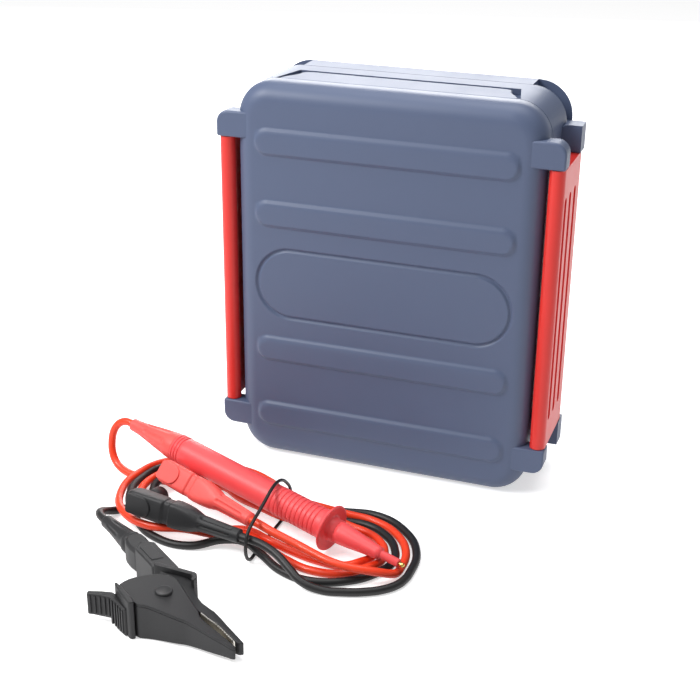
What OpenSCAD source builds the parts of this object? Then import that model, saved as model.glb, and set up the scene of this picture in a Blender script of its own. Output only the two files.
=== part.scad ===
// Resistance tester: a closed instrument case with a double-hinged lid, and its test leads lying in front.
// Lengths are millimetres. X runs along the width, Y from the lid to the back, Z is up from the table.

/* [Case] */
// Width of the case body without its lugs
case_width = 131.6; // [120:0.1:140]
// Height of the case as it stands
case_height = 170; // [160:0.5:180]
// Depth of the lid
lid_depth = 13; // [11:0.5:16]
// Depth of the front case
front_depth = 28; // [24:0.5:34]
// Depth of the rear case
rear_depth = 16; // [15:0.5:20]
// Wall thickness
wall = 2.6; // [2:0.1:3]
// Radius of the case corners
corner_radius = 15; // [12:0.5:18]
// Rounding of the lid's front edge
lid_edge = 8; // [6:0.5:9]
// Rounding of the back edge
rear_edge = 4; // [3:0.5:6]
// Height of the raised ribs and feet
rib_rise = 1.2; // [0.6:0.1:1.5]
// Height of one lid rib
rib_height = 11.3; // [9:0.1:13]
// Height of the oblong groove
oblong_height = 32; // [26:0.5:34]

/* [Lugs and plates] */
// How far a lug stands out from the side of the case
lug_stand = 8.2; // [7:0.1:10]
// Depth of a lug
lug_depth = 8.8; // [7:0.1:10]
// Height of a lug
lug_height = 11; // [9:0.1:13]
// Rod diameter
rod_diameter = 2; // [1.6:0.1:2.4]
// Space round a rod, on the radius
rod_play = 0.08; // [0.06:0.01:0.1]
// Thickness of a plate between its barrels
plate_thickness = 4.4; // [3:0.1:5]

/* [Panel] */
// Thickness of the panel plate
panel_thickness = 2.4; // [2:0.1:3]
// Function knob diameter
knob_diameter = 38; // [32:0.5:42]
// Function knob height
knob_height = 9; // [7:0.5:10]
// Display window width
window_width = 74; // [66:0.5:80]
// Display window height
window_height = 34; // [28:0.5:38]
// Test button diameter
button_diameter = 15; // [12:0.5:17]
// Bore of a test socket
socket_bore = 4; // [3.9:0.05:4.1]

/* [Battery bay] */
// Diameter of one cell
cell_diameter = 14.5; // [14:0.1:14.6]
// Length of one cell
cell_length = 50.5; // [49:0.1:51]
// Cells side by side
cells_across = 4; // [2:1:4]

/* [Leads] */
// Cord diameter
cord_diameter = 3.4; // [3:0.1:3.6]
// Probe length from tail to tip
probe_length = 145.7; // [140:0.1:150]
// Probe barrel diameter
probe_diameter = 12; // [11:0.1:13]
// Finger guard diameter
guard_diameter = 19.4; // [18:0.1:20]
// Clip thickness where it lies
clip_thickness = 15; // [13:0.1:16]

/* [Hidden] */
$fn = 48;
gap = 0.3;
half_depth = (lid_depth + front_depth + rear_depth) / 2;
lid_front = -half_depth;
lid_back = lid_front + lid_depth;
front_back = lid_back + front_depth;
rear_back = half_depth;
half_width = case_width / 2;
mid_z = case_height / 2;
slit = 0.2;
hair = 0.01;
reach = 1;
rib_shares = [0.357647, 0.175294, -0.188235, -0.375294];
rib_levels = rib_shares * case_height;
rib_side = 9.3;
rib_half = half_width - rib_side;
oblong_drop = 1.2;
oblong_z = mid_z - oblong_drop;
groove = 1;
screw_radius = 1.5;
screw_head = 2.8;
screw_bite = 6;
head_depth = 3;
pillar_depth = 8;

lug_reach = half_width + lug_stand;
lug_root = 7.8;
lug_in = half_width - lug_root;
rod_inset = 0.439024 * lug_stand;
rod_offset = lug_reach - rod_inset;
barrel_radius = rod_inset - gap;
lug_low = 18.4;
lug_round = 5;
rod_radius = rod_diameter / 2;
rod_bore = rod_radius + rod_play;
front_rod_y = lid_front + lug_depth / 2;
rear_rod_in = 5.8;
rear_rod_y = front_back - rear_rod_in;
rear_lug_y = rear_rod_y - lug_depth / 2 + slit;
rod_low = lug_low - lug_height / 2 + wall;
plate_low = lug_low + lug_height / 2 + gap;
plate_high = case_height - plate_low;
plate_groove = 4.2;
groove_depth = 0.8;
groove_end = 14.2;
plate_grooves = [0.1, 0.4, 0.715] * (rear_rod_y - front_rod_y);
tab_side = 15.8;
tab_slope = 4;
tab_top = half_width - tab_side;
tab_end = tab_top - tab_slope;
tab_play = 2;
tab_reach = 16;
tab_thickness = 2.5;
top_wall = 6;

panel_step = 3.4;
panel_front = lid_back + panel_step;
panel_back = panel_front + panel_thickness;
board_room = 7.1;
board_front = panel_back + board_room;
board_thickness = 1.6;
board_back = board_front + board_thickness;
board_side = 9.8;
board_end = 13;
board_round = 3;
board_width = case_width - 2 * board_side;
board_height = case_height - 2 * board_end;
knob_z = 0.317647 * case_height;
knob_side = 1.5;
display_z = 0.688235 * case_height;
window_round = 2;
window_glass = 1.5;
module_play = 1;
module_side = 2;
rotor_radius = 4;
button_x = 0.303951 * case_width;
button_z = 0.364706 * case_height;
button_rise = 3;
button_travel = 1.6;
button_boss = 4.4;
button_post = 2;
post_length = 2;
spring_wall = 0.8;
spring_play = 0.4;
switch_size = 9;
switch_height = 2;
key_switch = 6;
key_switch_height = 1;
key_stem = 1.5;
key_room = 0.4;
key_size = [13, 6];
key_rise = 1.4;
key_travel = 0.6;
key_x = [14, -14];
key_z = 0.523529 * case_height;
socket_step = 30;
socket_x = [-socket_step, 0, socket_step];
socket_z = 0.861765 * case_height;
socket_radius = 5;
socket_length = 12;
socket_floor = 1.5;
socket_flange = 6.4;
flange_rise = 0.8;

cell_gap = 0.5;
cell_pitch = cell_diameter + cell_gap;
bay_play = 1;
bay_width = cells_across * cell_pitch + bay_play;
contact_room = 6;
bay_row = cell_length + contact_room;
bay_height = 2 * bay_row + bay_play;
bay_low = 17;
bay_z = bay_low + bay_height / 2;
nub_radius = 2.7;
contact_radius = [4, 2.5];
cover_screw_in = 6;
cover_play = 0.8;
nub_height = 1.5;
contact_width = 9;
contact_spring = 1.1;
cover_thickness = 2;
cover_step = 2.2;
cell_y = rear_back - cover_thickness - cover_play - cell_diameter / 2;
bay_front = cell_y - cell_diameter / 2 - cell_gap;
bay_wall = 1.5;
part_depth = bay_front - bay_wall - board_back - gap;
part_drop = 20;
part_z = case_height - part_drop;
part_round = 1;
transformer_size = [15, 20];
transformer_side = 18;
transformer_x = transformer_side - board_width / 2;
can_radius = 5;
can_pitch = 16;
chip_size = 12;
chip_height = 2;
chip_round = 0.5;
chip_side = 14;
chip_levels = [-45, 15];
chip_x = board_width / 2 - chip_side;
buzzer_radius = 8;
buzzer_side = 18;
buzzer_x = board_width / 2 - buzzer_side;
fuse_radius = 2.5;
fuse_length = 20;
fuse_stand = 6;
fuse_side = 10;
fuse_drop = 25;
fuse_x = fuse_side - board_width / 2;
fuse_z = mid_z - fuse_drop;
fuse_y = board_back + fuse_stand;
fuse_clip = [4, 3.5, 3];
fuse_clip_levels = [3, 14];
strap_long = 15.3;
strap_down = 16;
strap_in = half_width - strap_long;
strap_low = case_height - strap_down;
strap_deep = 4.5;
strap_back = 11.5;
pillar = 19;
foot_size = [22, 8];
foot_in = [21.8, 23];
foot_at = [half_width - foot_in[0], mid_z - foot_in[1]];

cd = cord_diameter;
tie_radius = 0.7;

// Helpers
module outline(w, h, r) {
    square([w - 2 * r, h], center = true);
    square([w, h - 2 * r], center = true);
    for (sx = [-1, 1], sy = [-1, 1])
        translate([sx * (w / 2 - r), sy * (h / 2 - r)]) circle(r);
}

module facing(y_far, z = mid_z, x = 0) translate([x, y_far, z]) rotate([90, 0, 0]) children();

module slab(w, h, r, y0, y1, z = mid_z, x = 0)
    facing(y1, z, x) linear_extrude(y1 - y0) outline(w, h, r);

module rod_y(x, z, r, y0, y1) facing(y1, z, x) cylinder(r = r, h = y1 - y0);

module block(x0, x1, y0, y1, z0, z1) translate([x0, y0, z0]) cube([x1 - x0, y1 - y0, z1 - z0]);

module edge_profile(r, depth, edge) {
    square([r - edge, depth]);
    square([r, depth - edge]);
    translate([r - edge, depth - edge]) intersection() {
        circle(edge);
        square(edge);
    }
}

module bar_profile(w, depth, edge) for (side = [0, 1]) mirror([side, 0]) edge_profile(w / 2, depth, edge);

module soft_slab(w, h, r, edge, depth) {
    for (sx = [-1, 1], sy = [-1, 1])
        translate([sx * (w / 2 - r), sy * (h / 2 - r)]) rotate_extrude() edge_profile(r, depth, edge);
    rotate([90, 0, 0]) linear_extrude(h - 2 * r, center = true) bar_profile(w, depth, edge);
    rotate([90, 0, 90]) linear_extrude(w - 2 * r, center = true) bar_profile(h, depth, edge);
}

module mirrored() {
    children();
    mirror([1, 0, 0]) children();
}

// Case shells
module lug_pair(y0) mirrored() for (top = [0, 1])
    translate([0, 0, top * case_height]) mirror([0, 0, top]) difference() {
        block(lug_in, lug_reach, y0, y0 + lug_depth, lug_low - lug_height / 2, lug_low + lug_height / 2);
        translate([lug_reach - lug_round, y0 - gap, lug_low - lug_height / 2 + lug_round]) rotate([-90,
            90, 0])
            linear_extrude(lug_depth + 2 * gap) difference() {
                square(lug_round + gap);
                circle(lug_round);
            }
    }

module lug_bores(y) for (side = [-1, 1])
    translate([side * rod_offset, y, rod_low]) cylinder(r = rod_bore, h = case_height - 2 * rod_low);

module tab_plan(grow) {
    polygon([[-tab_top - grow, lid_back - gap], [-tab_end - grow, lid_back + tab_reach + grow],
             [tab_end + grow, lid_back + tab_reach + grow], [tab_top + grow, lid_back - gap]]);
}

module tab_plate(grow, down) translate([0, 0, case_height - tab_thickness - down])
    linear_extrude(tab_thickness + 2 * down) tab_plan(grow);

module lid() color([0.3, 0.34, 0.43]) difference() {
    union() {
        facing(lid_back) soft_slab(case_width, case_height, corner_radius, lid_edge, lid_depth);
        lug_pair(lid_front);
        tab_plate(0, 0);
        for (level = rib_levels)
            slab(2 * rib_half, rib_height, rib_height / 2 - hair, lid_front - rib_rise, lid_front + gap,
                mid_z + level);
    }
    facing(lid_back + gap) soft_slab(case_width - 2 * wall, case_height - 2 * wall, corner_radius - wall,
                                     lid_edge - wall, lid_depth - wall + gap);
    difference() {
        slab(2 * rib_half, oblong_height, oblong_height / 2 - hair, lid_front - gap, lid_front + groove / 2,
             oblong_z);
        slab(2 * rib_half - 2 * groove, oblong_height - 2 * groove, oblong_height / 2 - groove - hair,
             lid_front - 2 * gap, lid_front + groove, oblong_z);
    }
    lug_bores(front_rod_y);
}

module front_case() color([0.3, 0.34, 0.43]) difference() {
    union() {
        slab(case_width, case_height, corner_radius, lid_back + slit, front_back - slit);
        lug_pair(rear_lug_y);
    }
    difference() {
        slab(case_width - 2 * wall, case_height - 2 * top_wall, corner_radius - wall, lid_back - gap,
             front_back + gap);
        difference() {
            slab(case_width, case_height, corner_radius, panel_back, panel_back + wall);
            slab(case_width - 4 * wall, case_height - 2 * top_wall - 2 * wall, corner_radius - 2 * wall,
                 panel_front, panel_back + 2 * wall);
        }
        case_pillars(front_back - pillar_depth, front_back + 2 * gap, 0);
    }
    tab_plate(tab_play, slit);
    lug_bores(rear_rod_y);
    case_screw_holes(front_back - screw_bite, front_back, screw_radius);
}

module case_pillars(y0, y1, radius) for (sx = [-1, 1], sz = [-1, 1])
    rod_y(sx * (half_width - pillar / 2), mid_z + sz * (mid_z - pillar / 2 - wall), pillar / 3 + radius,
        y0, y1);

module case_screw_holes(y0, y1, r) for (sx = [-1, 1], sz = [-1, 1])
    rod_y(sx * (half_width - pillar / 2), mid_z + sz * (mid_z - pillar / 2 - wall), r, y0 - gap, y1 + gap);

module strap_slot() mirrored() {
    difference() {
        slab(case_width + reach, case_height + reach, corner_radius, front_back - gap, front_back +
            strap_back);
        slab(case_width - 2 * strap_deep, case_height - 2 * strap_deep, corner_radius - strap_deep,
             front_back - 2 * gap, front_back + strap_back + gap);
        block(-case_width, strap_in, front_back - reach, rear_back, -reach, case_height + reach);
        block(0, case_width, front_back - reach, rear_back, -reach, strap_low);
    }
}

module rear_case() color([0.3, 0.34, 0.43]) difference() {
    union() {
        difference() {
            facing(front_back + slit) mirror([0, 0, 1])
                soft_slab(case_width, case_height, corner_radius, rear_edge, rear_depth - slit);
            difference() {
                slab(case_width - 2 * wall, case_height - 2 * wall, corner_radius - wall, front_back - reach,
                     rear_back - wall);
                for (sx = [0, 1], sz = [0, 1]) translate([0, 0, sz * case_height]) mirror([sx, 0, 0])
                    mirror([0, 0, sz])
                        block(half_width - pillar, half_width, front_back - 2 * reach, rear_back, 0, pillar);
            }
        }
        block(-bay_width / 2 - bay_wall, bay_width / 2 + bay_wall, bay_front - bay_wall, rear_back - gap,
              bay_z - bay_height / 2 - bay_wall, bay_z + bay_height / 2 + bay_wall);
    }
    for (row = [-1, 1])
        block(-bay_width / 2, bay_width / 2, bay_front, rear_back + gap, bay_z + row * bay_row / 2 -
            bay_row / 2,
              bay_z + row * bay_row / 2 + bay_row / 2);
    slab(bay_width + 2 * cover_step, bay_height + 2 * cover_step, cover_step, rear_back - cover_thickness,
         rear_back + gap, bay_z);
    strap_slot();
    case_screw_holes(front_back, rear_back, screw_radius);
    case_screw_holes(rear_back - head_depth, rear_back, screw_head);
}

module rear_feet() color([0.28, 0.32, 0.4]) for (sx = [-1, 1], sz = [-1, 1])
    slab(foot_size[0], foot_size[1], foot_size[1] / 2 - hair, rear_back, rear_back + rib_rise, mid_z + sz
        * foot_at[1],
         sx * foot_at[0]);

module case_screws() color([0.7, 0.7, 0.72]) {
    case_screw_holes(front_back - screw_bite + gap, rear_back - head_depth, screw_radius);
    case_screw_holes(rear_back - head_depth + gap, rear_back - reach, screw_head - hair);
}

// Hinge and latch
module rod(side, y) color([0.75, 0.75, 0.77])
    translate([side * rod_offset, y, rod_low]) cylinder(r = rod_radius, h = case_height - 2 * rod_low);

module lid_rod_left() rod(-1, front_rod_y);

module lid_rod_right() rod(1, front_rod_y);

module case_rod_left() rod(-1, rear_rod_y);

module case_rod_right() rod(1, rear_rod_y);

module plate_plan(hook) {
    outer = rod_offset + barrel_radius;
    difference() {
        union() {
            translate([rod_offset, front_rod_y]) circle(barrel_radius);
            translate([outer - plate_thickness, front_rod_y]) square([plate_thickness, rear_rod_y -
                front_rod_y]);
            translate([rod_offset, rear_rod_y]) circle(barrel_radius);
        }
        translate([rod_offset, front_rod_y]) circle(rod_bore);
        if (hook) {
            translate([0, rear_rod_y - rod_bore - gap]) square([rod_offset + rod_bore + gap, 2 *
                barrel_radius]);
        } else {
            translate([rod_offset, rear_rod_y]) circle(rod_bore);
        }
    }
}

module plate_body(hook) difference() {
    translate([0, 0, plate_low]) linear_extrude(plate_high - plate_low) plate_plan(hook);
    for (line = plate_grooves) hull() for (z = [plate_low + groove_end, plate_high - groove_end])
        translate([rod_offset + barrel_radius - groove_depth, front_rod_y + line, z]) rotate([0, 90, 0])
            cylinder(r = plate_groove / 2, h = 2 * groove_depth);
}

module link_plate() color([0.86, 0.23, 0.21]) mirror([1, 0, 0]) plate_body(false);

module latch_plate() color([0.86, 0.23, 0.21]) plate_body(true);

// Panel
module panel_plate() color([0.2, 0.22, 0.25]) difference() {
    slab(case_width - 2 * wall - gap, case_height - 2 * top_wall - gap, corner_radius - wall - gap,
        panel_front,
         panel_back);
    slab(window_width + gap, window_height + gap, window_round, panel_front - gap, panel_back + gap,
        display_z);
    rod_y(0, knob_z, rotor_radius + gap, panel_front - gap, panel_back + gap);
    rod_y(button_x, button_z, button_boss + gap, panel_front - gap, panel_back + gap);
    for (x = key_x)
        slab(key_size[0] + gap, key_size[1] + gap, part_round, panel_front - gap, panel_back + gap, key_z, x);
    for (x = socket_x)
        rod_y(x, socket_z, socket_radius, panel_front - gap, panel_back + gap);
}

module display_window() color([0.75, 0.8, 0.82, 0.4])
    slab(window_width, window_height, window_round, panel_front + gap, panel_front + gap + window_glass,
        display_z);

module lcd_module() color([0.6, 0.66, 0.6])
    slab(window_width - 2 * module_side, window_height - module_side, part_round, panel_back + gap,
         board_front - module_play, display_z);

module function_knob() color([0.15, 0.16, 0.18]) difference() {
    union() {
        rod_y(0, knob_z, knob_diameter / 2, panel_front - knob_height / 3, panel_front - gap);
        slab(knob_diameter - 2 * knob_side, knob_diameter / 4, knob_diameter / 10, panel_front - knob_height,
             panel_front - knob_height / 4, knob_z);
    }
    rod_y(0, knob_z, rotor_radius / 2, panel_front - knob_height / 2, panel_front);
}

module knob_pointer() color([0.95, 0.95, 0.95])
    slab(knob_diameter / 5, knob_diameter / 20, knob_diameter / 50, panel_front - knob_height - gap,
         panel_front - knob_height, knob_z, -knob_diameter / 3.2);

module switch_rotor() color([0.85, 0.85, 0.8]) {
    rod_y(0, knob_z, rotor_radius / 2, panel_front - knob_height / 2, panel_front - gap);
    rod_y(0, knob_z, rotor_radius, panel_front - gap, panel_back + gap);
    rod_y(0, knob_z, 3 * rotor_radius, panel_back + gap, board_front - gap);
}

module button_body() {
    rod_y(button_x, button_z, button_diameter / 2, panel_front - button_rise - button_travel,
          panel_front - button_travel - gap);
    rod_y(button_x, button_z, button_boss, panel_front - button_travel - gap, panel_back);
    rod_y(button_x, button_z, button_post, panel_back, panel_back + post_length);
}

module test_button() color([0.9, 0.35, 0.15]) button_body();

module test_spring() color([0.75, 0.75, 0.77]) difference() {
    rod_y(button_x, button_z, button_post + spring_play + spring_wall, panel_back + button_travel + gap / 3,
          board_front - switch_height);
    rod_y(button_x, button_z, button_post + spring_play, panel_back - gap, board_front - reach);
}

module test_switch() color([0.2, 0.2, 0.2])
    slab(switch_size, switch_size, part_round, board_front - switch_height, board_front, button_z, button_x);

module key(x) {
    slab(key_size[0], key_size[1], part_round - gap / 2, panel_front - key_rise, panel_back, key_z, x);
    rod_y(x, key_z, key_stem, panel_back, board_front - key_switch_height - key_travel - key_room);
}

module light_key() color([0.9, 0.75, 0.2]) key(key_x[0]);

module hold_key() color([0.35, 0.4, 0.48]) key(key_x[1]);

module key_switches() color([0.2, 0.2, 0.2]) for (x = key_x)
    slab(key_switch, key_switch, part_round, board_front - key_switch_height, board_front, key_z, x);

module socket(x) difference() {
    union() {
        rod_y(x, socket_z, socket_flange, panel_front - flange_rise, panel_front);
        rod_y(x, socket_z, socket_radius, panel_front, board_front - gap);
    }
    rod_y(x, socket_z, socket_bore / 2, panel_front - reach, board_front - gap - socket_floor);
}

module line_socket() color([0.85, 0.2, 0.18]) socket(socket_x[0]);

module guard_socket() color([0.15, 0.4, 0.25]) socket(socket_x[1]);

module earth_socket() color([0.12, 0.12, 0.13]) socket(socket_x[2]);

module main_board() color([0.1, 0.4, 0.22]) difference() {
    slab(board_width, board_height, board_round, board_front, board_back, mid_z);
    rod_y(0, knob_z, key_stem, board_front - gap, board_back + gap);
}

module transformer() color([0.55, 0.5, 0.4])
    slab(transformer_size[0], transformer_size[1], part_round, board_back, board_back + part_depth, part_z,
         transformer_x);

module capacitors() color([0.15, 0.2, 0.45]) for (n = [-1, 0, 1])
    rod_y(n * can_pitch, part_z, can_radius, board_back, board_back + part_depth);

module chips() color([0.1, 0.1, 0.11]) for (side = [-1, 1], level = chip_levels)
    slab(chip_size, chip_size, chip_round, board_back, board_back + chip_height, mid_z + level, side *
        chip_x);

module buzzer() color([0.1, 0.1, 0.1]) rod_y(buzzer_x, part_z, buzzer_radius, board_back, board_back +
    buzzer_radius);

module fuse() color([0.85, 0.85, 0.8]) translate([fuse_x, fuse_y, fuse_z]) cylinder(r = fuse_radius, h =
    fuse_length);

module fuse_clips() color([0.75, 0.7, 0.4]) for (level = fuse_clip_levels)
    difference() {
        block(fuse_x - fuse_clip[0], fuse_x + fuse_clip[0], board_back, fuse_y + fuse_clip[1], fuse_z + level,
              fuse_z + level + fuse_clip[2]);
        translate([fuse_x, fuse_y, fuse_z + level - reach]) cylinder(r = fuse_radius, h = fuse_clip[2] +
            2 * reach);
    }

// Battery
module each_cell() for (row = [-1, 1], n = [0 : cells_across - 1])
    translate([(n - (cells_across - 1) / 2) * cell_pitch, cell_y, bay_z + row * bay_row / 2]) children();

module battery_cells() color([0.2, 0.25, 0.3]) each_cell() {
    translate([0, 0, -cell_length / 2]) cylinder(r = cell_diameter / 2, h = cell_length - nub_height);
    translate([0, 0, cell_length / 2 - nub_height]) cylinder(r = nub_radius, h = nub_height);
}

module battery_contacts() color([0.8, 0.8, 0.82]) each_cell() {
    translate([-contact_width / 2, -contact_width / 2, cell_length / 2])
        cube([contact_width, contact_width, (bay_row - cell_length) / 2]);
    translate([0, 0, -cell_length / 2 - contact_spring]) cylinder(r1 = contact_radius[0], r2 =
        contact_radius[1], h = contact_spring);
    translate([-contact_width / 2, -contact_width / 2, -bay_row / 2])
        cube([contact_width, contact_width, (bay_row - cell_length) / 2 - contact_spring]);
}

module battery_cover() color([0.3, 0.34, 0.43]) difference() {
    slab(bay_width + 2 * cover_step - gap, bay_height + 2 * cover_step - gap, cover_step,
         rear_back - cover_thickness, rear_back, bay_z);
    for (sx = [-1, 1])
        rod_y(sx * (bay_width / 2 - cover_screw_in), bay_z, screw_radius, rear_back - cover_thickness - reach,
              rear_back + reach);
}

module cover_screws() color([0.7, 0.7, 0.72]) for (sx = [-1, 1])
    rod_y(sx * (bay_width / 2 - cover_screw_in), bay_z, screw_radius, rear_back - cover_thickness + gap / 10,
          rear_back - gap);

// The wound leads
hank_centre = [-26.5, -90];
hank_tilt = -11;
hank_length = [57.5, 7];
hank_width = [28, 12, -1];
lobe_scale = 0.88;
lobe_shift = 6;
lobe_from = [5, 30];
hank_bow = 6;
hank_bow_at = 60;
lane_pitch = [1.18, 0.6, 0.18];
lane_shift = 0.7;
first_loop = 0.6;
layer_rise = 1.15;
waist_lift = 0.56;
turn_rings = 24;
cord_sides = 6;
red_turns = [0.14, 2.5];
black_turns = [-0.05, 1.5];

function ease(u) = let (c = min(max(u, 0), 1)) c * c * (3 - 2 * c);
function window(a, l0, l1, h1, h0) = ease((a - l0) / (l1 - l0)) * ease((h0 - a) / (h0 - h1));
function turn_angle(t) = let (a = 180 - 360 * t) a - 360 * floor(a / 360);
function waist(a) = max(window(a, 55, 78, 102, 125), window(a, 232, 258, 282, 308));
function lift(a) = waist_lift * cd * max(window(a, 62, 82, 98, 118), window(a, 242, 262, 278, 300));
function pitch(a) = cd * (lane_pitch[0] - (lane_pitch[0] - lane_pitch[1]) * waist(a)
    + lane_pitch[2] * window(side_angle(a), -45, -15, 40, 60));
function side_angle(a) = a > 180 ? a - 360 : a;
function right_shift(a) = lane_shift * cd * window(side_angle(a), -75, -45, 45, 75);
function hank_base(a) = let (
    q = hank_curve(a), e = ease((q[0] - lobe_from[0]) / (lobe_from[1] - lobe_from[0]))
) [q[0], q[1] * (1 - (1 - lobe_scale) * e) + lobe_shift * e];
function hank_curve(a) = [
    hank_length[0] * cos(a) + hank_length[1] * cos(3 * a),
    hank_width[0] * sin(a) + hank_width[1] * sin(3 * a) + hank_width[2] * sin(5 * a)];
function unit(v) = v / norm(v);
function hank_out(a) = let (d = hank_base(a + 0.5) - hank_base(a - 0.5)) unit([d[1], -d[0]]);
function bowed(p) = [p[0], p[1] - hank_bow * pow(max(p[0], 0) / hank_bow_at, 2)];
function turned(p, a) = [p[0] * cos(a) - p[1] * sin(a), p[0] * sin(a) + p[1] * cos(a)];
function placed(a, lane, rise) = let (
    p = hank_centre + turned(bowed(hank_base(a) + hank_out(a) * (lane * pitch(a) + right_shift(a))),
        hank_tilt)
) [p[0], p[1], cd / 2 + lift(a) + rise * layer_rise * cd];

function red_in(t, a) = t < first_loop ? 2 * (1 - ease((a - 90) / 50)) : 3 * (1 - ease((a - 70) / 40));
function red_out(t, a) = ease((a - 212) / 31) + (t < 1 ? 1 : 2) * ease((a - 300) / 45);
function red_lane(t, a) = 2 * t - 3 - (a <= 180 ? red_in(t, a) : red_out(t, a));
function black_lane(t, a) = 2 * t - 2
    + (a <= 180 ? ease((a - 70) / 40) - 1 : 2 * ease((a - 212) / 31) - 3 * ease((a - 300) / 45));
function red_rise(t, a) = t < first_loop ? 0 : max(window(a, 54, 69, 111, 126), window(a, 148, 163, 236,
    253));
function black_rise(t, a) = t > first_loop ? window(a, 148, 161, 203, 216) : window(a, 148, 161, 182, 196);
function red_point(t) = let (a = turn_angle(t)) placed(a, red_lane(t, a), red_rise(t, a));
function black_point(t) = let (a = turn_angle(t)) placed(a, black_lane(t, a), black_rise(t, a));
function turn_steps(turns) = round((turns[1] - turns[0]) * turn_rings);
function turn_at(turns, i) = turns[0] + (turns[1] - turns[0]) * i / turn_steps(turns);

// A closed tube along points; the sides are set out from one fixed direction that no stretch runs along
function tangent(p, i) = unit(p[min(i + 1, len(p) - 1)] - p[max(i - 1, 0)]);
function ring(p, i, r, sides, side_to) = let (
    t = tangent(p, i), u = unit(cross(side_to, t)), v = cross(t, u)
) [for (k = [0 : sides - 1]) p[i] + r * (cos(360 * k / sides) * u + sin(360 * k / sides) * v)];

module tube(p, r, sides, side_to) {
    n = len(p);
    polyhedron(
        points = [for (i = [0 : n - 1]) each ring(p, i, r, sides, side_to)],
        faces = concat(
            [[for (k = [0 : sides - 1]) sides - 1 - k]],
            [for (i = [0 : n - 2], k = [0 : sides - 1]) let (m = (k + 1) % sides)
                [i * sides + k, i * sides + m, (i + 1) * sides + k]],
            [for (i = [0 : n - 2], k = [0 : sides - 1]) let (m = (k + 1) % sides)
                [i * sides + m, (i + 1) * sides + m, (i + 1) * sides + k]],
            [[for (k = [0 : sides - 1]) (n - 1) * sides + k]]));
}

red_route = [for (i = [0 : turn_steps(red_turns)]) red_point(turn_at(red_turns, i))];
black_route = [for (i = [0 : turn_steps(black_turns)]) black_point(turn_at(black_turns, i))];

red_start = red_route[0];
red_finish = red_route[len(red_route) - 1];
black_start = black_route[0];
black_finish = black_route[len(black_route) - 1];

// Points of the free stretches, from the piece that each one leaves
probe_tail = [-101.2, -63.7, 22.5];
probe_way = [0.9506, -0.2883, -0.1146];
red_sleeve = [-26.9, -105.9, 13];
red_head = [-69.5, -88.5, 16];
red_roll = -50;
black_sleeve = [-27.5, -115.1, 10.5];
black_head = [-69.2, -110.2, 13.2];
black_roll = -78;
clip_centre = [-35.2, -165.7, 0];
clip_turn = -16.8;
tail_points = [probe_tail, [-104.4, -62.9, 22.8], [-107.8, -62.5, 21.8], [-110.4, -62.6, 19.4], [-111.9,
    -63.2, 16],
    [-112.3, -64, 12], [-111.7, -65.1, 8], [-109.8, -66.6, 4.8], [-106.4, -68.4, 2.7], [-102, -70.2, 1.9],
    [-97, -71.4, 1.7], [-91, -72, 1.7], [-83.4, -71.4, 1.7], [-76, -70, 1.7], [-69.8, -68.4, 1.7], [-64,
        -67, 1.7],
    [-58.6, -66.6, 1.7], red_start];
clip_points = [[-84.5, -119.5, 8], [-87.2, -117.9, 8], [-90, -115.2, 7.6], [-91.9, -111.6, 6.4],
    [-92.4, -107.8, 4.7], [-91.8, -104.2, 2.9], [-90.2, -101, 1.8], [-87.8, -98.6, 1.7], [-85, -96.8, 1.7],
    [-82.3, -95.2, 1.7], black_start];
red_plug_points = [red_finish, [34.2, -105.4, 1.9], [32.8, -108.6, 3.1], [29.8, -111.8, 4.9], [25,
    -114.4, 6.4],
    [18.6, -115.9, 7.2], [11.2, -115.8, 7.8], [3.7, -113.8, 8.4], [-3.4, -111.6, 9.2], [-10.2, -110.2, 10.4],
    [-17, -108.9, 11.7], [-23.7, -106.9, 12.8], red_sleeve];
black_plug_points = [black_finish, [38.5, -107.9, 1.7], [37, -112.6, 1.7], [33.1, -117.6, 1.7], [27.1,
    -121.7, 1.7],
    [19.1, -124.9, 1.7], [10.6, -126.5, 1.7], [2.5, -126.1, 3.4], [-4.1, -122.9, 6.2], [-9.8, -119.5, 8.2],
    [-15.9, -117, 9.5], [-21.2, -115.7, 10.1], [-24.2, -115.4, 10.3], black_sleeve];
sideways = [0.1, 1, 0.05];
upward = [0, 0, 1];

// Least space between the turns of one wound cord, from its points
function least_gap(p) = min([for (i = [0 : len(p) - 1]) min([for (j = [i + turn_rings / 3 : 1 : len(p) - 1])
    norm(p[i] - p[j]) - cd, each [cd]])]);
echo(red_coil_least_gap = least_gap(red_route), black_coil_least_gap = least_gap(black_route));

module red_cord(p, sides, side_to) color([0.96, 0.29, 0.16]) tube(p, cd / 2, sides, side_to);

module black_cord(p, sides, side_to) color([0.13, 0.13, 0.14]) tube(p, cd / 2, sides, side_to);

module red_lead_coil() red_cord(red_route, cord_sides, upward);

module red_lead_tail() red_cord(tail_points, 8, sideways);

module red_lead_plug_end() red_cord(red_plug_points, 8, upward);

module black_lead_coil() black_cord(black_route, cord_sides, upward);

module black_lead_clip_end() black_cord(clip_points, 8, upward);

module black_lead_plug_end() black_cord(black_plug_points, 8, upward);

// Probe
boot_length = 22.9;
collar_length = 8.9;
barrel_end = 114;
guard_at = 108.6;
guard_thickness = 2.4;
nose_end = 134.4;
tip_start = probe_length - 2.6;
probe_radius = probe_diameter / 2;
nose_radius = 4.6;
nose_small = 2.5;
tip_radius = 1;

module aim(p, way) translate(p) rotate([0, acos(way[2] / norm(way)), atan2(way[1], way[0])]) children();

module probe_boot() color([0.98, 0.42, 0.38]) aim(probe_tail, probe_way) difference() {
    cylinder(r1 = 2.6, r2 = probe_radius - 0.4, h = boot_length);
    for (turn = [0 : 90 : 270]) rotate([0, 0, turn])
        translate([probe_radius - 1.4, -0.7, boot_length / 2]) cube([3, 1.4, boot_length / 3]);
}

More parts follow.
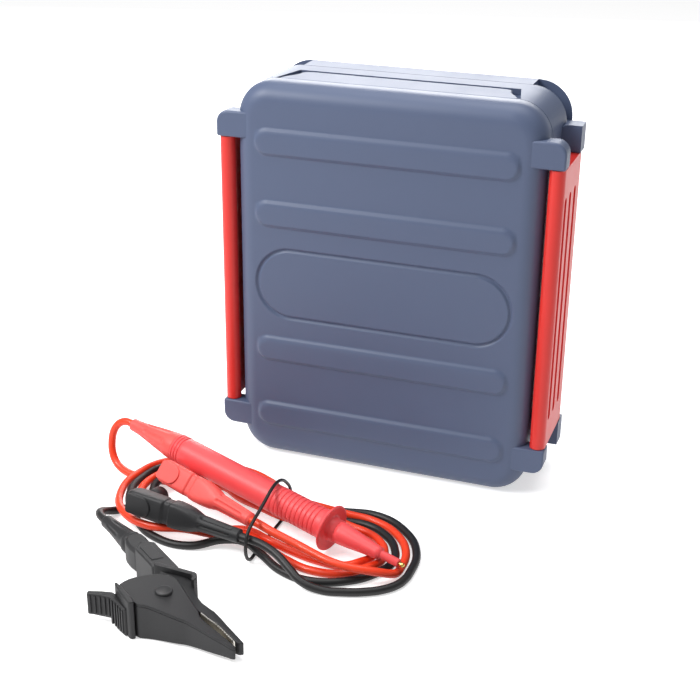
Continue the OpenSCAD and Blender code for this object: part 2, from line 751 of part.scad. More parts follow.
module probe_barrel() color([0.92, 0.25, 0.25]) aim(probe_tail, probe_way) difference() {
    union() {
        translate([0, 0, boot_length]) cylinder(r = probe_radius, h = barrel_end - boot_length);
        for (n = [0 : 2]) translate([0, 0, boot_length + n * collar_length / 3])
            cylinder(r = probe_radius + 0.4, h = collar_length / 4);
        translate([0, 0, guard_at]) cylinder(r = guard_diameter / 2, h = guard_thickness);
    }
    translate([0, 0, barrel_end - 8]) cylinder(r = tip_radius, h = 9);
}

module probe_nose() color([0.92, 0.25, 0.25]) aim(probe_tail, probe_way) difference() {
    union() {
        translate([0, 0, barrel_end]) cylinder(r1 = nose_radius, r2 = nose_small, h = nose_end - barrel_end);
        translate([0, 0, nose_end]) cylinder(r = cd / 2, h = tip_start - nose_end);
    }
    translate([0, 0, barrel_end - 1]) cylinder(r = tip_radius, h = tip_start - barrel_end + 2);
}

module probe_tip() color([0.85, 0.7, 0.35]) aim(probe_tail, probe_way) {
    translate([0, 0, barrel_end - 8]) cylinder(r = tip_radius, h = probe_length - barrel_end + 7);
    translate([0, 0, probe_length - 1]) cylinder(r1 = tip_radius, r2 = 0.3, h = 1);
}

// Plugs
plug_sleeve = 18;
plug_flare = 30;
plug_length = 52;
plug_block = [8, 10];
shroud_at = 45.5;
shroud_length = 9;
shroud_radius = 3.9;
shroud_bore = 3.1;
pin_radius = 2;

module plug_body() difference() {
    union() {
        cylinder(r1 = 2.8, r2 = 3.6, h = plug_sleeve);
        translate([0, 0, plug_sleeve]) cylinder(r1 = 3.6, r2 = plug_block[0] / 2, h = plug_flare -
            plug_sleeve);
        translate([-plug_block[0] / 2, -plug_block[1] / 2, plug_flare])
            cube([plug_block[0], plug_block[1], plug_length - plug_flare - plug_block[1] / 2]);
        translate([-plug_block[0] / 2, 0, plug_length - plug_block[1] / 2]) rotate([0, 90, 0])
            cylinder(r = plug_block[1] / 2, h = plug_block[0]);
        translate([-plug_block[0] / 2 - 0.6, 0, shroud_at]) rotate([0, 90, 0]) cylinder(r = 4.4, h = 1);
        translate([plug_block[0] / 2 - 1, 0, shroud_at]) rotate([0, 90, 0])
            cylinder(r = shroud_radius, h = shroud_length + 1);
    }
    translate([plug_block[0] / 2 - 2, 0, shroud_at]) rotate([0, 90, 0])
        cylinder(r = shroud_bore, h = shroud_length + 3);
}

module plug_pin() translate([plug_block[0] / 2 - 2, 0, shroud_at]) rotate([0, 90, 0])
    cylinder(r = pin_radius, h = shroud_length + 1.5);

module plug_place(sleeve, head, roll) aim(sleeve, head - sleeve) rotate([0, 0, roll]) children();

module red_plug() color([0.98, 0.42, 0.38]) plug_place(red_sleeve, red_head, red_roll) plug_body();

module red_plug_pin() color([0.8, 0.8, 0.82]) plug_place(red_sleeve, red_head, red_roll) plug_pin();

module black_plug() color([0.13, 0.13, 0.14]) plug_place(black_sleeve, black_head, black_roll) plug_body();

module black_plug_pin() color([0.8, 0.8, 0.82]) plug_place(black_sleeve, black_head, black_roll) plug_pin();

// Clip
lever_plan = [[35.6, -2.8], [35.6, -1.5], [32.2, -1.2], [26.6, -0.8], [20.9, -0.5], [17.1, 0.1], [14.7, 1.2],
    [10.2, 2.1], [5.7, 4.1], [1.1, 6.2], [-3.3, 7.7], [-8.2, 6.7], [-11.2, 3.9], [-13.8, 0.6], [-15.9, -3.2],
    [-15.8, -7.8], [-17.6, -8.3], [-21.3, -10.3], [-25.6, -13.3], [-24.4, -15.1], [-20.3, -12.9], [-16.6,
        -11.3],
    [-11, -12.3], [-5.6, -13.9], [-3.1, -13.2], [-2.6, -11.7], [1.9, -9.7], [6.4, -8.4], [12, -6.7],
        [15.2, -5.4],
    [19.4, -4.7], [26.6, -3.9], [31.2, -3.2]];
body_plan = [[-38.6, 28.4], [-40.8, 19.8], [-34.5, 16.6], [-29.1, 14.4], [-15.5, 10], [-9, 9.8], [-5.2, 10.2],
    [-2.6, 9], [1.4, 7.6], [6, 5.4], [10.5, 3.4], [15, 2.4], [19.6, 2.1], [23.8, 2.2], [29.3, 1.2],
        [34.8, 0.1],
    [36.6, 1.9], [34.5, 2.4], [27.8, 3.9], [20.9, 5.7], [12.6, 6.9], [8.8, 8.2], [5, 10.6], [4.4, 12.6],
    [1.8, 14.7], [-5, 13.4], [-7.5, 15.9], [-26.8, 23]];
jaw_low = 6.5;
pivot_radius = 2.4;
clip_core = 3.5;
clip_cheek = 4;
spring_radius = 4.4;
clip_neck = [-66.2, -131.4, 8];

module clip_place() translate(clip_centre) rotate([0, 0, clip_turn]) children();

module tapered(z0, z1) intersection() {
    linear_extrude(clip_thickness) children();
    translate([0, -clip_thickness * 3, 0]) rotate([-90, 0, 0]) mirror([0, 1, 0])
        linear_extrude(clip_thickness * 6) polygon([[-90, z0], [40, z0], [40, jaw_low], [0, z1], [-90, z1]]);
}

module clip_body() color([0.13, 0.13, 0.14]) clip_place() difference() {
    union() {
        tapered(0, clip_thickness) polygon(body_plan);
        translate([0, 0, clip_core]) difference() {
            cylinder(r = 8.6, h = clip_thickness - 2 * clip_core);
            translate([-20, -20 - clip_cheek, -1]) cube([40, 20, clip_thickness]);
        }
    }
    translate([0, 0, -1]) cylinder(r = pivot_radius, h = clip_thickness + 2);
    translate([0, 0, clip_core + 2]) cylinder(r = spring_radius + 0.5, h = clip_thickness - 2 * clip_core
        - 4);
}

module clip_jaw() color([0.13, 0.13, 0.14]) clip_place() difference() {
    tapered(0, clip_thickness) polygon(lever_plan);
    translate([0, 0, clip_core - gap]) difference() {
        cylinder(r = 9.4, h = clip_thickness - 2 * clip_core + 2 * gap);
        translate([-20, -20 - clip_cheek - 2.6, -1]) cube([40, 20, clip_thickness]);
    }
    translate([0, 0, -1]) cylinder(r = pivot_radius + rod_play, h = clip_thickness + 2);
}

module clip_pin() color([0.13, 0.13, 0.14]) clip_place() {
    translate([0, 0, gap]) cylinder(r = pivot_radius, h = clip_thickness - gap);
    translate([0, 0, clip_thickness + rod_play]) cylinder(r = pivot_radius + 1, h = 0.6);
    translate([0, 0, clip_thickness - gap]) cylinder(r = pivot_radius, h = gap + 0.4);
}

module clip_spring() color([0.75, 0.75, 0.77]) clip_place() translate([0, 0, clip_core + 2.2]) difference() {
    cylinder(r = spring_radius, h = clip_thickness - 2 * clip_core - 4.4);
    translate([0, 0, -1]) cylinder(r = spring_radius - 1, h = clip_thickness);
}

module clip_boot() color([0.13, 0.13, 0.14]) aim(clip_points[0], clip_neck - clip_points[0])
    cylinder(r1 = 2.7, r2 = 4.2, h = norm(clip_neck - clip_points[0]));

body_teeth_plan = [[15.6, 2.355], [19.6, 2.095], [23.8, 2.195], [29.2, 1.21], [29.2, 0.87], [23.8, 1.85],
    [19.6, 1.75],
    [15.6, 2.01]];
jaw_teeth_plan = [[17.1, 0.1], [20.9, -0.5], [26.6, -0.8], [29.2, -0.985], [29.2, -0.635], [26.6, -0.45],
    [20.9, -0.15], [17.1, 0.45]];
teeth_low = 2;
teeth_tall = 4.5;

module body_teeth() color([0.8, 0.8, 0.82]) clip_place() translate([0, 0, teeth_low])
    linear_extrude(teeth_tall)
    polygon(body_teeth_plan);

module jaw_teeth() color([0.8, 0.8, 0.82]) clip_place() translate([0, 0, teeth_low])
    linear_extrude(teeth_tall)
    polygon(jaw_teeth_plan);

// Tie
tie_x = -23.5;
tie_plan = [[-72.2, 3.6], [-73.4, 1.2], [-76, 0.7], [-92, 0.7], [-110, 0.7], [-115.5, 1.1], [-118.7, 4.6],
    [-119, 10], [-117.2, 13.6], [-112.6, 15.8], [-106, 17.3], [-99, 19], [-93, 20.6], [-87.6, 20.9],
    [-82, 19.4], [-76.6, 15.5], [-72.3, 10], [-71.9, 4.6]];

module twist_tie() color([0.1, 0.1, 0.1])
    tube([for (p = tie_plan) [tie_x, p[0], p[1]]], tie_radius, cord_sides, [1, 0, 0]);

rear_case();
front_case();
lid();
link_plate();
latch_plate();
lid_rod_left();
lid_rod_right();
case_rod_left();
case_rod_right();
case_screws();
rear_feet();
panel_plate();
display_window();
lcd_module();
function_knob();
knob_pointer();
switch_rotor();
test_button();
test_spring();
test_switch();
light_key();
hold_key();
key_switches();
line_socket();
guard_socket();
earth_socket();
main_board();
transformer();
capacitors();
chips();
buzzer();
fuse();
fuse_clips();
battery_cells();
battery_contacts();
battery_cover();
cover_screws();
probe_boot();
probe_barrel();
probe_nose();
probe_tip();
red_plug();
red_plug_pin();
black_plug();
black_plug_pin();
clip_body();
clip_jaw();
clip_pin();
clip_spring();
clip_boot();
body_teeth();
jaw_teeth();
red_lead_tail();
red_lead_coil();
red_lead_plug_end();
black_lead_clip_end();
black_lead_coil();
black_lead_plug_end();
twist_tie();
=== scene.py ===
# Looks of the resistance tester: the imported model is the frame, and the pieces here sit on it.
# Lengths in the settings are millimetres, in the frame's axes: +X right, +Y to the back, +Z up.
import math

import bmesh
import bpy
import numpy as np
from mathutils import Matrix, Vector


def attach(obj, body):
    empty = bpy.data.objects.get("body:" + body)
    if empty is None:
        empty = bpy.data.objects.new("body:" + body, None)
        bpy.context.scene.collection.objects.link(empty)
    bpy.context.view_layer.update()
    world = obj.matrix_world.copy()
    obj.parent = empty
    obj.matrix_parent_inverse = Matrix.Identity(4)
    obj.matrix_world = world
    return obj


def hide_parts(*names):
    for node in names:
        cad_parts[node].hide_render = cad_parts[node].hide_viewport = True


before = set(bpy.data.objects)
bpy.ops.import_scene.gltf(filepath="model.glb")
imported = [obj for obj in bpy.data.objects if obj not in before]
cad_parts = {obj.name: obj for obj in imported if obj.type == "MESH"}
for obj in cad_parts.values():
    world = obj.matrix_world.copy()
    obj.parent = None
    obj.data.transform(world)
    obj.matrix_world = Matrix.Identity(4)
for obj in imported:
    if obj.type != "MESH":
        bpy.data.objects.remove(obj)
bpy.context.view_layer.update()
print("frame loaded")

mm = 0.001


def smooth(value):
    value = min(max(value, 0.0), 1.0)
    return value * value * (3 - 2 * value)


# 0 up to the start, 1 from the end on
def ramp(value, start, end):
    return smooth((value - start) / (end - start))


# 1 between the two inner values, 0 outside the two outer ones
def window(value, low0, low1, high1, high0):
    return ramp(value, low0, low1) * smooth((high0 - value) / (high0 - high1))


# a colour as it is picked on screen, as the linear values that a material takes
def linear(red, green, blue):
    def channel(value):
        value = value / 255
        return value / 12.92 if value <= 0.04045 else ((value + 0.055) / 1.055) ** 2.4

    return (channel(red), channel(green), channel(blue), 1.0)


# a finish says what differs from these
finishDefaults = {"blotch": 60, "shade": 0.9, "roughSpread": 0.05, "grain": 2600, "bump": 0.1,
                  "height": 0.0001, "metal": 0.0, "ior": 1.46, "coat": 0.0, "soft": 0.0,
                  "softReach": (0.004, 0.0015, 0.001)}


# a moulded or metal finish: blotches in the colour and gloss, and a fine grain in the surface
def plastic(name, ownSettings):
    settings = {**finishDefaults, **ownSettings}
    material = bpy.data.materials.new(name)
    material.use_nodes = True
    nodes = material.node_tree.nodes
    links = material.node_tree.links
    surface = nodes["Principled BSDF"]
    place = nodes.new("ShaderNodeTexCoord")
    blotch = nodes.new("ShaderNodeTexNoise")
    blotch.inputs["Scale"].default_value = settings["blotch"]
    blotch.inputs["Detail"].default_value = 4
    links.new(place.outputs["Object"], blotch.inputs["Vector"])
    tint = nodes.new("ShaderNodeMix")
    tint.data_type = "RGBA"
    color = settings["color"]
    shade = settings["shade"]
    tint.inputs["A"].default_value = (color[0] * shade, color[1] * shade, color[2] * shade, 1)
    tint.inputs["B"].default_value = color
    links.new(blotch.outputs["Fac"], tint.inputs["Factor"])
    links.new(tint.outputs["Result"], surface.inputs["Base Color"])
    rough = nodes.new("ShaderNodeMapRange")
    rough.inputs["To Min"].default_value = settings["rough"] - settings["roughSpread"]
    rough.inputs["To Max"].default_value = settings["rough"] + settings["roughSpread"]
    links.new(blotch.outputs["Fac"], rough.inputs["Value"])
    links.new(rough.outputs["Result"], surface.inputs["Roughness"])
    grain = nodes.new("ShaderNodeTexNoise")
    grain.inputs["Scale"].default_value = settings["grain"]
    grain.inputs["Detail"].default_value = 3
    links.new(place.outputs["Object"], grain.inputs["Vector"])
    bump = nodes.new("ShaderNodeBump")
    bump.inputs["Strength"].default_value = settings["bump"]
    bump.inputs["Distance"].default_value = settings["height"]
    links.new(grain.outputs["Fac"], bump.inputs["Height"])
    links.new(bump.outputs["Normal"], surface.inputs["Normal"])
    surface.inputs["Metallic"].default_value = settings["metal"]
    surface.inputs["IOR"].default_value = settings["ior"]
    surface.inputs["Coat Weight"].default_value = settings["coat"]
    surface.inputs["Subsurface Weight"].default_value = settings["soft"]
    surface.inputs["Subsurface Radius"].default_value = settings["softReach"]
    return material


finishes = {
    "caseGrey": {"color": linear(87, 99, 127), "rough": 0.46, "bump": 0.3, "grain": 2200, "shade": 0.94},
    "plateRed": {"color": linear(232, 52, 45), "rough": 0.38, "bump": 0.12},
    "steel": {"color": linear(190, 190, 194), "rough": 0.3, "metal": 1.0},
    "panelDark": {"color": linear(44, 47, 54), "rough": 0.6, "bump": 0.3},
    "windowClear": {"color": linear(190, 205, 208), "rough": 0.1},
    "lcdGrey": {"color": linear(132, 146, 128), "rough": 0.25},
    "knobDark": {"color": linear(36, 38, 42), "rough": 0.5},
    "markWhite": {"color": linear(236, 236, 232), "rough": 0.5},
    "nylon": {"color": linear(222, 220, 208), "rough": 0.45, "soft": 0.2},
    "orange": {"color": linear(232, 92, 30), "rough": 0.4},
    "yellow": {"color": linear(226, 184, 60), "rough": 0.55},
    "black": {"color": linear(40, 40, 41), "rough": 0.5},
    "green": {"color": linear(30, 110, 70), "rough": 0.4},
    "boardGreen": {"color": linear(20, 96, 56), "rough": 0.3, "coat": 0.4},
    "coreTan": {"color": linear(150, 130, 96), "rough": 0.5},
    "canBlue": {"color": linear(40, 52, 110), "rough": 0.35},
    "ceramic": {"color": linear(220, 216, 204), "rough": 0.3},
    "brass": {"color": linear(196, 164, 96), "rough": 0.3, "metal": 1.0},
    "cellWrap": {"color": linear(54, 66, 86), "rough": 0.3, "metal": 0.3},
    "nickel": {"color": linear(224, 220, 212), "rough": 0.3, "metal": 1.0},
    "probeRed": {"color": linear(246, 86, 89), "rough": 0.45, "bump": 0.1, "soft": 0.15},
    "bootRed": {"color": linear(250, 92, 86), "rough": 0.48, "bump": 0.1, "soft": 0.2},
    "gold": {"color": linear(222, 190, 112), "rough": 0.22, "metal": 1.0},
    "cordOrange": {"color": linear(244, 66, 28), "rough": 0.42, "bump": 0.12, "soft": 0.1, "coat": 0.1},
    "cordBlack": {"color": linear(26, 25, 26), "rough": 0.46, "bump": 0.1},
    "clipBlack": {"color": linear(34, 34, 36), "rough": 0.52, "bump": 0.2, "grain": 1800},
}
materials = {name: plastic(name, settings) for name, settings in finishes.items()}
print("materials made")


def makePiece(name, points, faces, finish, body, slotName, sharp=None):
    mesh = bpy.data.meshes.new(name)
    mesh.from_pydata([[value * mm for value in point] for point in points], [], faces)
    work = bmesh.new()
    work.from_mesh(mesh)
    bmesh.ops.recalc_face_normals(work, faces=work.faces)
    work.to_mesh(mesh)
    work.free()
    mesh.materials.append(materials[finish])
    mesh.shade_smooth()
    piece = bpy.data.objects.new(name, mesh)
    bpy.context.collection.objects.link(piece)
    if sharp:
        mesh.set_sharp_from_angle(angle=math.radians(sharp))
    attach(piece, body)
    return piece


def roundEdges(piece, width, segments=3, angle=35):
    bevel = piece.modifiers.new("Rounding", "BEVEL")
    bevel.width = width * mm
    bevel.segments = segments
    bevel.limit_method = "ANGLE"
    bevel.angle_limit = math.radians(angle)


# the faces between a number of rings of points, with both ends closed
def ringFaces(count, sides):
    faces = []
    for step in range(count - 1):
        for side in range(sides):
            after = (side + 1) % sides
            faces.append((step * sides + side, step * sides + after,
                          (step + 1) * sides + after, (step + 1) * sides + side))
    faces.append(tuple(reversed(range(sides))))
    faces.append(tuple((count - 1) * sides + side for side in range(sides)))
    return faces


# places the x, y and z of a piece whose length runs along way
def axisFrame(start, way, roll=0.0):
    zAxis = Vector(way).normalized()
    theta = math.acos(zAxis.z)
    phi = math.atan2(zAxis.y, zAxis.x)
    turn = (Matrix.Rotation(phi, 3, "Z") @ Matrix.Rotation(theta, 3, "Y")
            @ Matrix.Rotation(math.radians(roll), 3, "Z"))
    return lambda point: Vector(start) + turn @ Vector(point)


# a round piece from rows of place along it and radius; dent says how much is taken off at a point
def lathe(name, profile, place, finish, body, slotName, sides, dent=None):
    points = []
    for along, radius in profile:
        for side in range(sides):
            angle = 2 * math.pi * side / sides
            reach = radius - (dent(along, angle) if dent else 0)
            points.append(place((reach * math.cos(angle), reach * math.sin(angle), along)))
    return makePiece(name, points, ringFaces(len(profile), sides), finish, body, slotName)


# how deep the long moulded hollows of a boot or sleeve are at a point
def fluteDepth(along, angle, flute):
    around = (math.degrees(angle) + flute["turn"]) % flute["pitch"]
    return flute["deep"] * window(along, *flute["along"]) * window(around, *flute["around"])


# cuts the corners of a closed outline once
def refine(outline):
    softer = []
    for index, point in enumerate(outline):
        after = outline[(index + 1) % len(outline)]
        softer.append([0.75 * point[0] + 0.25 * after[0], 0.75 * point[1] + 0.25 * after[1]])
        softer.append([0.25 * point[0] + 0.75 * after[0], 0.25 * point[1] + 0.75 * after[1]])
    return softer


# a flat outline raised between two heights, each a number or a function of the point
def extruded(name, outline, place, top, finish, body, slotName, bottom, rounding):
    count = len(outline)
    lower = [place((x, y, bottom(x, y) if callable(bottom) else bottom)) for x, y in outline]
    upper = [place((x, y, top(x, y) if callable(top) else top)) for x, y in outline]
    faces = [tuple(reversed(range(count))), tuple(count + index for index in range(count))]
    faces += [(index, (index + 1) % count, count + (index + 1) % count, count + index)
              for index in range(count)]
    piece = makePiece(name, lower + upper, faces, finish, body, slotName, sharp=30)
    roundEdges(piece, rounding)
    return piece


lidSettings = {"width": 131.6, "height": 170, "corner": 15, "edge": 8, "wall": 2.6, "front": -28.5,
               "back": -15.5, "ribLevels": [145.8, 114.8, 53.0, 21.2], "ribHalf": 56.5, "ribHeight": 11.3,
               "ribRise": 1.25, "ribSlope": 1.5, "ribSkirt": 0.4, "ovalLevel": 83.8, "ovalHeight": 32,
               "grooveWide": 0.62, "grooveDeep": 0.8, "grooveAt": 0.5, "grooveSoft": 1.6,
               "lip": 0.25, "lipPull": 0.2, "fine": 0.4, "coarse": 1.6, "near": 2.2}


# how far inside a rounded rectangle a point lies
def insideDistance(x, z, halfWide, halfHigh, corner):
    outX = abs(x) - (halfWide - corner)
    outZ = abs(z) - (halfHigh - corner)
    return corner - math.hypot(max(outX, 0), max(outZ, 0)) - min(max(outX, outZ), 0)


# how far inside an oblong with round ends a point lies
def stadiumDistance(x, z, half, height):
    return height / 2 - math.hypot(max(abs(x) - (half - height / 2), 0), z)


# the ribs stand up from the lid's face, and the oblong's groove sinks into it
def lidRise(x, z, settings):
    rise = 0
    for level in settings["ribLevels"]:
        skirt = settings["ribSkirt"]
        inside = stadiumDistance(x, z - level, settings["ribHalf"] + skirt, settings["ribHeight"] + 2 * skirt)
        rise = max(rise, settings["ribRise"] * min(max(inside / settings["ribSlope"], 0), 1))
    inside = stadiumDistance(x, z - settings["ovalLevel"], settings["ribHalf"], settings["ovalHeight"])
    away = abs(inside - settings["grooveAt"]) / settings["grooveWide"]
    return rise - settings["grooveDeep"] * smooth(settings["grooveSoft"] - away)


def steppedEdge(edge, steps=9):
    return [edge * (1 - math.cos(math.pi / 2 * index / steps)) for index in range(steps + 1)]


# places from start to end, close together near the marks
def spread(start, end, marks, settings):
    places = [start]
    while places[-1] < end:
        here = places[-1]
        close = min((abs(here - mark) for mark in marks), default=math.inf)
        step = settings["fine"] if close < settings["near"] else settings["coarse"]
        places.append(min(here + step, end))
    if places[-1] - places[-2] < 0.1:
        places.pop(-2)
    return places


# the lid's outer face with its ribs, or its plain inner face, as rows of points
def lidSurface(settings, inset, front, detail):
    halfWide = settings["width"] / 2 - inset
    halfHigh = settings["height"] / 2 - inset
    corner = settings["corner"] - inset
    edge = settings["edge"] - inset
    ends = steppedEdge(corner, 14)
    middle = settings["height"] / 2
    levels = [level - middle + side * settings["ribHeight"] / 2 for level in settings["ribLevels"]
              for side in (-1, 1)]
    levels += [settings["ovalLevel"] - middle + offset for offset in range(-16, 18, 2)]
    rows = [-halfHigh + end for end in ends]
    rows += spread(corner - halfHigh, halfHigh - corner, levels if detail else [], settings)[1:-1]
    rows += [halfHigh - end for end in reversed(ends)]
    sideSteps = steppedEdge(edge)
    half = settings["ribHalf"]
    marks = [side * (half - offset) for side in (-1, 1) for offset in range(0, 18, 2)] if detail else []
    inner = spread(edge - halfWide, halfWide - edge, marks, settings)
    points = []
    for z in rows:
        short = max(abs(z) - (halfHigh - corner), 0)
        reach = halfWide - corner + math.sqrt(max(corner * corner - short * short, 0))
        xs = [-reach + step for step in sideSteps]
        xs += [value * (reach - edge) / (halfWide - edge) for value in inner[1:-1]]
        xs += [reach - step for step in reversed(sideSteps)]
        for x in xs:
            depth = min(max(insideDistance(x, z, halfWide, halfHigh, corner), 0), edge)
            y = front + edge - math.sqrt(max(edge * edge - (edge - depth) ** 2, 0))
            if detail:
                y -= lidRise(x, z + settings["height"] / 2, settings)
            points.append((x, y, z + settings["height"] / 2))
    return points, len(rows), len(xs)


# the numbers of the points round a grid's edge
def perimeter(rowCount, columnCount):
    loop = list(range(columnCount))
    loop += [row * columnCount + columnCount - 1 for row in range(1, rowCount)]
    loop += [(rowCount - 1) * columnCount + column for column in range(columnCount - 2, -1, -1)]
    loop += [row * columnCount for row in range(rowCount - 2, 0, -1)]
    return loop


def makeLid(settings):
    points = []
    faces = []
    rims = []
    wall = settings["wall"]
    middle = settings["height"] / 2
    for inset, front, detail in ((0, settings["front"], True), (wall, settings["front"] + wall, False)):
        surface, rowCount, columnCount = lidSurface(settings, inset, front, detail)
        base = len(points)
        points += surface
        for row in range(rowCount - 1):
            for column in range(columnCount - 1):
                first = base + row * columnCount + column
                faces.append((first, first + 1, first + columnCount + 1, first + columnCount))
        loop = [base + index for index in perimeter(rowCount, columnCount)]
        for level in (settings["back"] - settings["lip"], settings["back"]):
            pull = settings["lipPull"] if level == settings["back"] and detail else 0
            start = len(points)
            for index in loop:
                x, _, z = points[index]
                points.append((x * (1 - pull / (settings["width"] / 2)), level,
                               middle + (z - middle) * (1 - pull / middle)))
            size = len(loop)
            faces += [(loop[index], loop[(index + 1) % size], start + (index + 1) % size, start + index)
                      for index in range(size)]
            loop = [start + index for index in range(size)]
        rims.append(loop)
    outer, inner = rims
    outerCount, innerCount = len(outer), len(inner)
    ratio = innerCount / outerCount
    for index in range(outerCount):
        near = int(index * ratio) % innerCount
        after = int((index + 1) * ratio) % innerCount
        nextOuter = outer[(index + 1) % outerCount]
        if near == after:
            faces.append((outer[index], nextOuter, inner[near]))
        else:
            faces.append((outer[index], nextOuter, inner[after], inner[near]))
    return makePiece("lid_shell", points, faces, "caseGrey", "lid", "case_grey")


lidShell = makeLid(lidSettings)

tabSettings = {"half": 50.5, "endHalf": 45.5, "start": -15.6, "end": 0.5, "top": 170, "thick": 2.5,
               "shoulder": 3.5, "sideSteps": 12, "cornerSteps": 8, "soft": 0.5}


def makeTab(settings):
    side = []
    straight = settings["end"] - settings["start"] - settings["shoulder"]
    for step in range(settings["sideSteps"] + 1):
        share = step / settings["sideSteps"]
        x = settings["half"] + (settings["endHalf"] - settings["half"]) * smooth(share)
        side.append([x, settings["start"] + straight * share])
    for step in range(1, settings["cornerSteps"] + 1):
        angle = math.pi / 2 * step / settings["cornerSteps"]
        side.append([settings["endHalf"] - settings["shoulder"] * (1 - math.cos(angle)),
                     settings["end"] - settings["shoulder"] * (1 - math.sin(angle))])
    outline = side + [[-x, y] for x, y in reversed(side)]
    extruded("lid_tab", outline, Vector, settings["top"], "caseGrey", "lid", "case_grey",
             settings["top"] - settings["thick"], settings["soft"])


makeTab(tabSettings)

lugSettings = {"inner": 57, "reach": 74, "front": -28.1, "back": -19.7, "levels": [18.4, 151.6],
               "height": 11, "corner": 5, "cornerSteps": 8, "soft": 0.8}


def makeLugs(settings):
    for side in (-1, 1):
        for level in settings["levels"]:
            outward = -1 if level < lidSettings["height"] / 2 else 1
            half = settings["height"] / 2
            outline = [[settings["inner"], -half], [settings["reach"], -half]]
            for step in range(settings["cornerSteps"] + 1):
                angle = math.pi / 2 * step / settings["cornerSteps"]
                outline.append([settings["reach"] - settings["corner"] * (1 - math.cos(angle)),
                                half - settings["corner"] * (1 - math.sin(angle))])
            outline.append([settings["inner"], half])

            def place(point, side=side, level=level, outward=outward):
                return Vector((side * point[0], point[2], level + outward * point[1]))

            name = "lid_lug_" + ("left" if side < 0 else "right") + ("_low" if outward < 0 else "_high")
            extruded(name, outline, place, settings["back"], "caseGrey", "lid", "case_grey",
                     settings["front"], settings["soft"])


makeLugs(lugSettings)
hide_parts("lid")
print("lid built")

# the CAD nodes that keep their own meshes
nodeFinishes = {
    "rear_case": "caseGrey", "front_case": "caseGrey", "battery_cover": "caseGrey", "rear_feet": "black",
    "link_plate": "plateRed", "latch_plate": "plateRed", "lid_rod_left": "steel", "lid_rod_right": "steel",
    "case_rod_left": "steel", "case_rod_right": "steel", "case_screws": "steel", "cover_screws": "steel",
    "panel_plate": "panelDark", "display_window": "windowClear", "lcd_module": "lcdGrey",
    "function_knob": "knobDark", "knob_pointer": "markWhite", "switch_rotor": "nylon",
    "test_button": "orange", "test_spring": "steel", "test_switch": "black", "light_key": "yellow",
    "hold_key": "caseGrey", "key_switches": "black", "line_socket": "plateRed", "guard_socket": "green",
    "earth_socket": "black",
    "main_board": "boardGreen", "transformer": "coreTan", "capacitors": "canBlue", "chips": "black",
    "buzzer": "black", "fuse": "ceramic", "fuse_clips": "brass", "battery_cells": "cellWrap",
    "battery_contacts": "nickel", "clip_spring": "steel", "red_plug_pin": "nickel",
    "black_plug_pin": "nickel"}
roundedNodes = {"rear_case": 0.5, "front_case": 0.5, "link_plate": 0.6, "latch_plate": 0.6,
                "function_knob": 0.6, "battery_cover": 0.4, "rear_feet": 0.4, "test_button": 0.5,
                "panel_plate": 0.3, "light_key": 0.3, "hold_key": 0.3, "lcd_module": 0.3}


def dressNodes():
    for node, finish in nodeFinishes.items():
        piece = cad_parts[node]
        piece.data.materials.clear()
        piece.data.materials.append(materials[finish])
        if node in roundedNodes:
            roundEdges(piece, roundedNodes[node])


dressNodes()
print("nodes dressed")

probeSettings = {"tail": (-101.2, -63.7, 22.5), "way": (0.9506, -0.2883, -0.1146), "length": 145.7,
                 "bootEnd": 26.9, "collarEnd": 31.4, "gripStart": 82.5, "gripEnd": 106.5, "grooves": 11,
                 "guard": 109.8, "guardRadius": 9.7, "noseStart": 114, "noseEnd": 134.4, "tipStart": 143.1,
                 "bootFoot": 2.75, "bootSwell": ((2.9, 0, 26), (0.3, 19, 25)), "bootSteps": 60,
                 "noseRadius": 4.7, "noseTaper": 2.1, "noseSteps": 12, "gripGrowth": 0.1,
                 "flute": {"deep": 0.6, "pitch": 60, "turn": 35, "along": (8, 9.5, 20.5, 22.5),
                           "around": (16, 22, 38, 44)},
                 "ringCount": 3,  # ring and groove: share of one's length, and radius
                 "ring": ((0.02, 5.95), (0.08, 6.1), (0.15, 6.2), (0.55, 6.24), (0.66, 6.18), (0.74, 6.02),
                          (0.8, 5.88), (0.96, 5.88)),
                 "groove": ((0, 6.06), (0.04, 5.92), (0.08, 5.78), (0.13, 5.78), (0.17, 5.92), (0.21, 6.06),
                            (0.3, 6.13), (0.6, 6.14), (0.92, 6.13))}
probePlace = axisFrame(probeSettings["tail"], probeSettings["way"])


